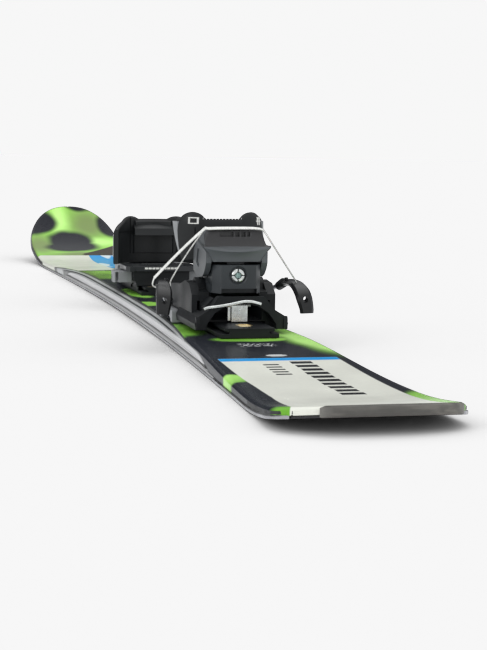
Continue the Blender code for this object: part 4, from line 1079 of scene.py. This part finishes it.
def build_toe_cup(material, pale):
    """The horseshoe, open towards the tail: wings, an inner pad between two seams, a slit along its crest."""
    cup = Solid()

    def wall(angle):
        across = cos(angle)
        top = toe_crest(angle)
        low = 39
        outer = TOE_OUTER - 1.2 * (1 - abs(across))
        return [(TOE_INNER, low), (outer - 0.6, low), (outer, low + 1.2), (outer, top - 6),
                (outer - 0.4, top - 2.6), (outer - 1.3, top - 0.6), (outer - 2.4, top),
                (TOE_INNER + 0.8, top - 0.2), (TOE_INNER, top - 1.4)]

    cup.rings(cup_rings(TOE_CENTRE_Y, degrees_between(10, 170, 72), wall))
    pad_low, pad_high = 47, 70.6

    def pad(angle):
        drop = 3.5 * max(0.0, abs(cos(angle)) - 0.36) / 0.14
        inner = TOE_INNER - 1.6
        return [(TOE_INNER + 1, pad_low), (inner, pad_low + 0.6), (inner, pad_high - 1 - drop),
                (inner + 0.6, pad_high - drop), (TOE_INNER + 1, pad_high - drop)]

    cup.rings(cup_rings(TOE_CENTRE_Y, degrees_between(60, 120, 24), pad))

    def upper(_):
        inner = TOE_INNER - 2.2
        return [(TOE_INNER + 1, 71.6), (inner, 72), (inner, 75.8), (inner + 1, 76.8),
                (TOE_INNER + 1, 76.8)]

    cup.rings(cup_rings(TOE_CENTRE_Y, degrees_between(62, 118, 24), upper))
    for centre in (54, 126):  # seams between the pad and the wings
        cup.rings(cup_rings(TOE_CENTRE_Y, degrees_between(centre - 1, centre + 1, 2),
                            lambda _: [(TOE_INNER - 2, 47), (TOE_INNER + 0.9, 47),
                                       (TOE_INNER + 0.9, 85), (TOE_INNER - 2, 85)]), cut=True)
    for first, last in ((14, 56), (124, 166)):  # the wings' own seam, level with the pad's top edge
        cup.rings(cup_rings(TOE_CENTRE_Y, degrees_between(first, last, 16),
                            lambda _: [(TOE_INNER - 2, 66.2), (TOE_INNER + 0.8, 66.2),
                                       (TOE_INNER + 0.8, 67.2), (TOE_INNER - 2, 67.2)]), cut=True)
    cup.rings(cup_rings(TOE_CENTRE_Y, degrees_between(74, 106, 12),
                        lambda angle: [(TOE_INNER + 1.2, 77.2 - 0.8 * abs(cos(angle))),
                                       (TOE_INNER + 3.2, 77.2), (TOE_INNER + 3.2, 80),
                                       (TOE_INNER + 1.2, 80)]), cut=True)
    cup.side(points("6 64 18, 8 70 18, 21.5 75.2 18, 24.3 75.2 18, 24.3 64 18"))
    cup.make("toe_cup_shell", material, "toe", ("toe_cup",), 0.3)

    rim = Solid()  # a paler edge along the front of each wing, a painted highlight for the light rim along it

    def edge(angle):
        top = toe_crest(angle)
        return [(TOE_OUTER - 1, 45), (TOE_OUTER + 0.4, 45), (TOE_OUTER + 0.4, top - 6),
                (TOE_OUTER - 0.4, top - 3), (TOE_OUTER - 1.2, top - 3.4)]

    rim.rings(cup_rings(TOE_CENTRE_Y, degrees_between(150, 167, 8), edge))
    rim.rings(cup_rings(TOE_CENTRE_Y, degrees_between(13, 30, 8), edge))
    rim.make("toe_wing_highlight_strip", pale, "toe", (), 0.3)


def build_toe_housing(material, pale):
    housing = Solid()
    profile = points(
            "25.2 37.2 20, 24.9 40 20, 24.9 73.5 19, 26.2 74.6 18.6, 33 74.6 18.4, 45 72.6 17.2, "
            "56 70 15.6, 66 67.4 13.6, 71.5 65 12.2, 73.5 62 11.8, 73.5 50 11.8, 70 44 13, 64 39.2 14.6, "
            "60 37.2 15.6")
    housing.side(profile)
    z = 58
    housing.rod((0, 40, 30), (0, 40, 64), 5.3, 24, cut=True)
    housing.rod((0, 38, z), (0, 72.5, z), 4.6, 24, cut=True)
    housing.rod((0, 70.7, z), (0, 76, z), 5.4, 28, cut=True)
    housing.flanks(points("30 48, 30 64, 48 62, 56 56, 52 48"),
                   17.7, 22, cut=True)
    housing.cut_boxes("-7.5 36 73.8 7.5 56 76")
    housing.make("toe_spring_housing", material, "toe", ("toe_housing",), 0.7)
    gauge = Solid()
    gauge.side(points("37 73.5 6, 37 74.4 6, 55 70.8 6, 55 69.8 6"))
    for i in range(6):
        y = 39 + 2.8 * i
        gauge.box((-4.5, y, 72), (4.5, y + 0.8, 76), cut=True)
    gauge.make("toe_setting_window", pale, "toe", (), 0.2)


def build_toe_deck(material, grey, pale, white):
    deck = Solid()
    deck.plate(both_sides(points("22.5 17.5, 22.5 23.2, 23.6 25.2, 25 27.2, 25 36.6")),
               "XZ", -29, 70)
    deck.plate(both_sides(TRACK_SLOT), "XZ", -31, 80, cut=True)
    deck.cut_boxes("-33 -33 33.8 33 10 40")
    deck.rod((0, 40, 15), (0, 40, 50), 5.3, 24, cut=True)
    deck.flanks(points("-30 10, -30 20, -12 23, 2 20, 2 10"),
                21.2, 26, cut=True)
    deck.make("toe_deck", material, "toe_carriage", ("toe_base",), 0.5)

    plan = points("25.3 -20, 40.5 -20, 41.5 -19, 41.5 -6, 40 -2, 31.2 15, 30 19, 30 48, 25.3 48")
    for side, word in ((-1, "left"), (1, "right")):
        foot = Solid()
        foot.plate([(side * x, y) for x, y in plan], "XY", 23.6, 36.6)
        foot.cut_boxes("-50 -30 33.6 50 11 40")
        foot.box(*spanned(side, 37.2, 39.8, (-21, -15), (22.5, 32.5)), cut=True)
        foot.box(*spanned(side, 39, 45, (-12, -6), (22.5, 30)), cut=True)
        foot.rod((side * 27.8, 33, 35), (side * 27.8, 33, 38), 1.6, 16, cut=True)
        foot.make(f"toe_deck_foot_{word}", grey, "toe_carriage", (f"toe_foot_{word}",), 0.6)
    sole = Solid()
    sole.plate(points(
            "-32 -29, -29 -32, 29 -32, 32 -29, 32 6.5, 29 9.5, -29 9.5, -32 6.5"), "XY", 34.1, 38.5)
    for x in (-20, 20):
        sole.rod((x, -12, 37.8), (x, -12, 40), 4.2, 24, cut=True)
    sole.cut_boxes("-13 -25 37.9 13 3 40")
    sole.make("toe_sole_pad", pale, "toe_carriage", ("toe_sole_plate",), 0.6)
    stripe = Solid()
    for i in range(9):
        x = -15.6 + 3.3 * i
        stripe.box((x, -32.35, 36), (x + 2.7, -31.8, 37.6))
    stripe.make("sole_pad_dashes", white, "toe_carriage", (), 0)


def build_collar(material):
    """The plated collar round the rear screw of the heel track."""
    collar = Solid()
    collar.rod((0, -340, 20.6), (0, -340, 21.3), 6.6, 32, 5.8)
    collar.rod((0, -340, 20), (0, -340, 22), 4.7, 32, cut=True)
    collar.make("track_screw_collar", material, "ski", (), 0)


# --- The elastic band over the lever, hooked round both fins ---

BAND_OVER = points(
        "-54.2 -290.6 50, -37.5 -297.8 69, -22.6 -307 85, -19 -308.8 86.2, 0 -309.6 86.6, 18 -309.2 86.2, "
        "22.2 -309.6 83, 26.4 -312 76, 45 -301 52, 49 -298.5 46.8")
BAND_SECOND = points("41.8 -288.5 44.1, 41.2 -288.2 49, 30.5 -295.2 69, 21.2 -304 85")


def build_band(material):
    """One elastic loop: a flat ribbon on the left that thins to a cord on the right."""
    band = Solid()
    over = [Vector(p) for p in BAND_OVER]
    band.rings(ribbon_rings(smooth_route(over, 3), lambda share: 3 - 2.5 * smooth(share * 2.6 - 1.1), 0.7,
                            lambda share: Vector((0, 1, 0.6))))
    for side, width in ((-1, 1.4), (1, 0.3)):
        strand = [Vector((side * x, y, z)) for x, y, z in BAND_SECOND]
        band.rings(ribbon_rings(smooth_route(strand, 3), width, 0.6, lambda share: Vector((0, 1, 0.6))))
        turn = points("54.2 -290.6 50, 54.9 -289.7 44.6, 48 -289 42.4, 41.8 -288.5 44.1")
        band.rings(ribbon_rings(smooth_route([Vector((side * x, y, z)) for x, y, z in turn], 4), width + 0.4,
                                0.8, lambda share: Vector((0, 1, 0.2))))
    band.make("elastic_band", material, "brake", ("retaining_band",), 0)


# --- Materials of the binding, and of the CAD pieces that stay in view ---


def lever_paint():
    """Satin grey plastic, with painted shade inside the scoop: its recess is coloured dark."""
    paint = Paint("lever_grey", linear(84, 89, 92), 0.4)
    _, y, z = paint.place()
    blotches = paint.noise(30, 4)
    # painted shade: the recess inside the scoop, above its rim, is coloured dark for the shade that lies in
    # it
    inside = paint.both(paint.step(z, 0.0734, 0.0742), paint.step(y, -0.303, -0.305))
    light = paint.mix(paint.step(blotches, 0.35, 0.7), linear(66, 70, 73), linear(84, 88, 91))
    dark = paint.mix(blotches, linear(34, 34, 36), linear(54, 53, 54))
    colour = paint.mix(inside, light, dark)
    return paint.finished(paint.mix(paint.pointed(0.3), colour, linear(150, 153, 155)),
                          (0.34, 0.5, blotches), (paint.noise(2400, 2), 0.3, 0.00004))


def screw_paint():
    """Plated screw: its rear face has a darker green-grey recess, and the ring round that recess and four
    short slots are coloured near black as painted shade in these hollows.
    """
    paint = Paint("screw_zinc", (0.8, 0.82, 0.81), 0.25, 1.0)
    x, y, z = paint.place()
    up = paint.math("SUBTRACT", z, SCREW_Z / PER_METRE)
    far = paint.math("SQRT", paint.math("MULTIPLY_ADD", x, x, paint.math("MULTIPLY", up, up)))
    face = paint.step(y, -0.319, -0.3194)
    cross = paint.either([paint.stripe(way, -0.0004, 0.0004, 0.0001) for way in (x, up)])
    slots = paint.both(cross, paint.step(far, 0.0018, 0.0022))
    ring = paint.stripe(far, 0.0019, 0.0025, 0.0002)
    scratches = paint.noise(500, 4)
    colour = paint.mix(paint.step(scratches, 0.35, 0.75), (0.8, 0.82, 0.81), (0.62, 0.64, 0.63))
    colour = paint.mix(paint.both(face, paint.step(far, 0.0023, 0.0019)), colour, (0.3, 0.42, 0.4))
    # painted shade: the slots and the ring round the recess are coloured near black
    colour = paint.mix(paint.both(face, paint.either([slots, ring])), colour, (0.02, 0.03, 0.03))
    return paint.finished(colour, (0.2, 0.42, scratches), (scratches, 0.3, 0.00002))


def rubber(name, colour, roughness=0.55):
    """Elastic band: faint lengthwise strands and dust."""
    paint = Paint(name, colour, roughness)
    strands = paint.noise(1500, 2, paint.stretched((1.0, 0.25, 0.25)))
    darker = tuple(c * 0.78 for c in colour)
    return paint.finished(paint.mix(paint.step(strands, 0.3, 0.75), colour, darker),
                          (roughness - 0.1, roughness + 0.1, strands), (strands, 0.3, 0.00006))


def wood_paint():
    """Strips of poplar and ash seen on the core's faces."""
    paint = Paint("wood", linear(205, 170, 120), 0.6)
    x = paint.place()[0]
    grain = paint.noise(260, 4, paint.stretched((1.0, 0.04, 1.0)))
    strips = paint.step(paint.math("SINE", paint.math("MULTIPLY", x, 420.0)), -0.05, 0.05)
    colour = paint.mix(strips, linear(200, 160, 108), linear(222, 192, 146))
    paint.set("Base Color", paint.mix(paint.step(grain, 0.4, 0.65), colour, linear(168, 126, 80)))
    paint.bump(grain, 0.3, 0.0001)
    return paint.material


def build_binding_looks():
    black = moulded("moulded_black", linear(23, 25, 27), 0.46, specular=0.2)
    shell = moulded("cup_black", linear(28, 30, 31), 0.42, 1600, 0.00007, specular=0.28)
    housing = moulded("housing_grey", linear(44, 48, 51), 0.38)
    fin = moulded("fin_black", linear(18, 19, 20), 0.26)
    grey = moulded("moulded_grey", linear(128, 130, 132), 0.45)
    zinc = metal("zinc", (0.78, 0.8, 0.79), 0.26)
    gold = metal("gold_zinc", (0.8, 0.66, 0.38), 0.28)
    spring = metal("spring_steel", (0.6, 0.61, 0.63), 0.24, (1, 0.1, 1))
    pale = moulded("low_friction", linear(40, 42, 44), 0.3, 900)
    white = rubber("band_white", linear(236, 236, 232))
    build_lever(lever_paint())
    build_housing(housing)
    build_heel_cup(shell, grey, white)
    build_heel_base(black)
    build_bracket(grey)
    build_lock(zinc)
    build_paddles(fin, black, spring)
    build_pedal(black)
    # The wing strips' pale grey is a painted highlight along the front edge of each wing.
    build_toe_cup(shell, moulded("wing_highlight_grey", linear(205, 206, 206), 0.4))
    build_toe_housing(black, grey)
    build_toe_deck(black, grey, pale, white)
    build_band(white)
    build_collar(gold)
    return {"screw_zinc": screw_paint(), "moulded_black": black, "moulded_grey": grey, "zinc": zinc,
            "gold_zinc": gold, "spring_steel": spring, "low_friction": pale, "band_white": white,
            "wood": wood_paint(), "laminate": moulded("laminate", linear(58, 58, 54), 0.35, 700),
            "spacer_black": moulded("spacer_black", linear(30, 31, 33), 0.5)}


# Width of the rounding on the CAD nodes' edges
ROUNDED_NODES = {"heel_track": 0.0005, "toe_track": 0.0005,
                 "heel_pivot_pin": 0.0005, "toe_pivot_post": 0.0004,
                 "heel_adjusting_screw": 0.00025, "toe_adjusting_screw": 0.00025,
                 "heel_preload_nut": 0.0003, "toe_preload_nut": 0.0003,
                 "heel_piston": 0.0003, "toe_piston": 0.0003}


def finish_cad_nodes(looks):
    """Gives each CAD piece that stays its slot's material, with rounded edges or smooth sides."""
    for row in frame["record"]["subparts"]:
        node = NODES[row["node"]]
        look = "screw_zinc" if row["node"] == "heel_adjusting_screw" else row["material_slot"]
        material = looks.get(look)
        if material is None:
            continue
        for slot in node.material_slots:
            slot.material = material
        if row["node"] in ROUNDED_NODES:
            add_rounding(node, ROUNDED_NODES[row["node"]])
        if "spring" in row["node"] or "arm" in row["node"]:
            node.data.shade_smooth()


# --- Assembly ---


def build_ski_looks():
    build_cap(topsheet_paint())
    # The edge steel's colour is darker than bare steel: painted shade standing in for the dark reflection
    # along the edge.
    wall, steel = sidewall_paint(), metal("edge_steel", (0.42, 0.42, 0.44), 0.3, (1, 0.02, 1), 500)
    for side, word in ((-1, "left"), (1, "right")):
        side_loft(f"side_insert_{word}", side, sidewall_section, *SIDEWALL_ENDS, wall, (f"sidewall_{word}",),
                  "sidewall_grey")
        side_loft(f"steel_edge_{word}", side, edge_section, *EDGE_ENDS, steel, (f"edge_{word}",),
                  "edge_steel")
    build_base_sheet(base_paint())
    build_protector(protector_paint())


add_camera()
add_studio()
build_ski_looks()
finish_cad_nodes(build_binding_looks())
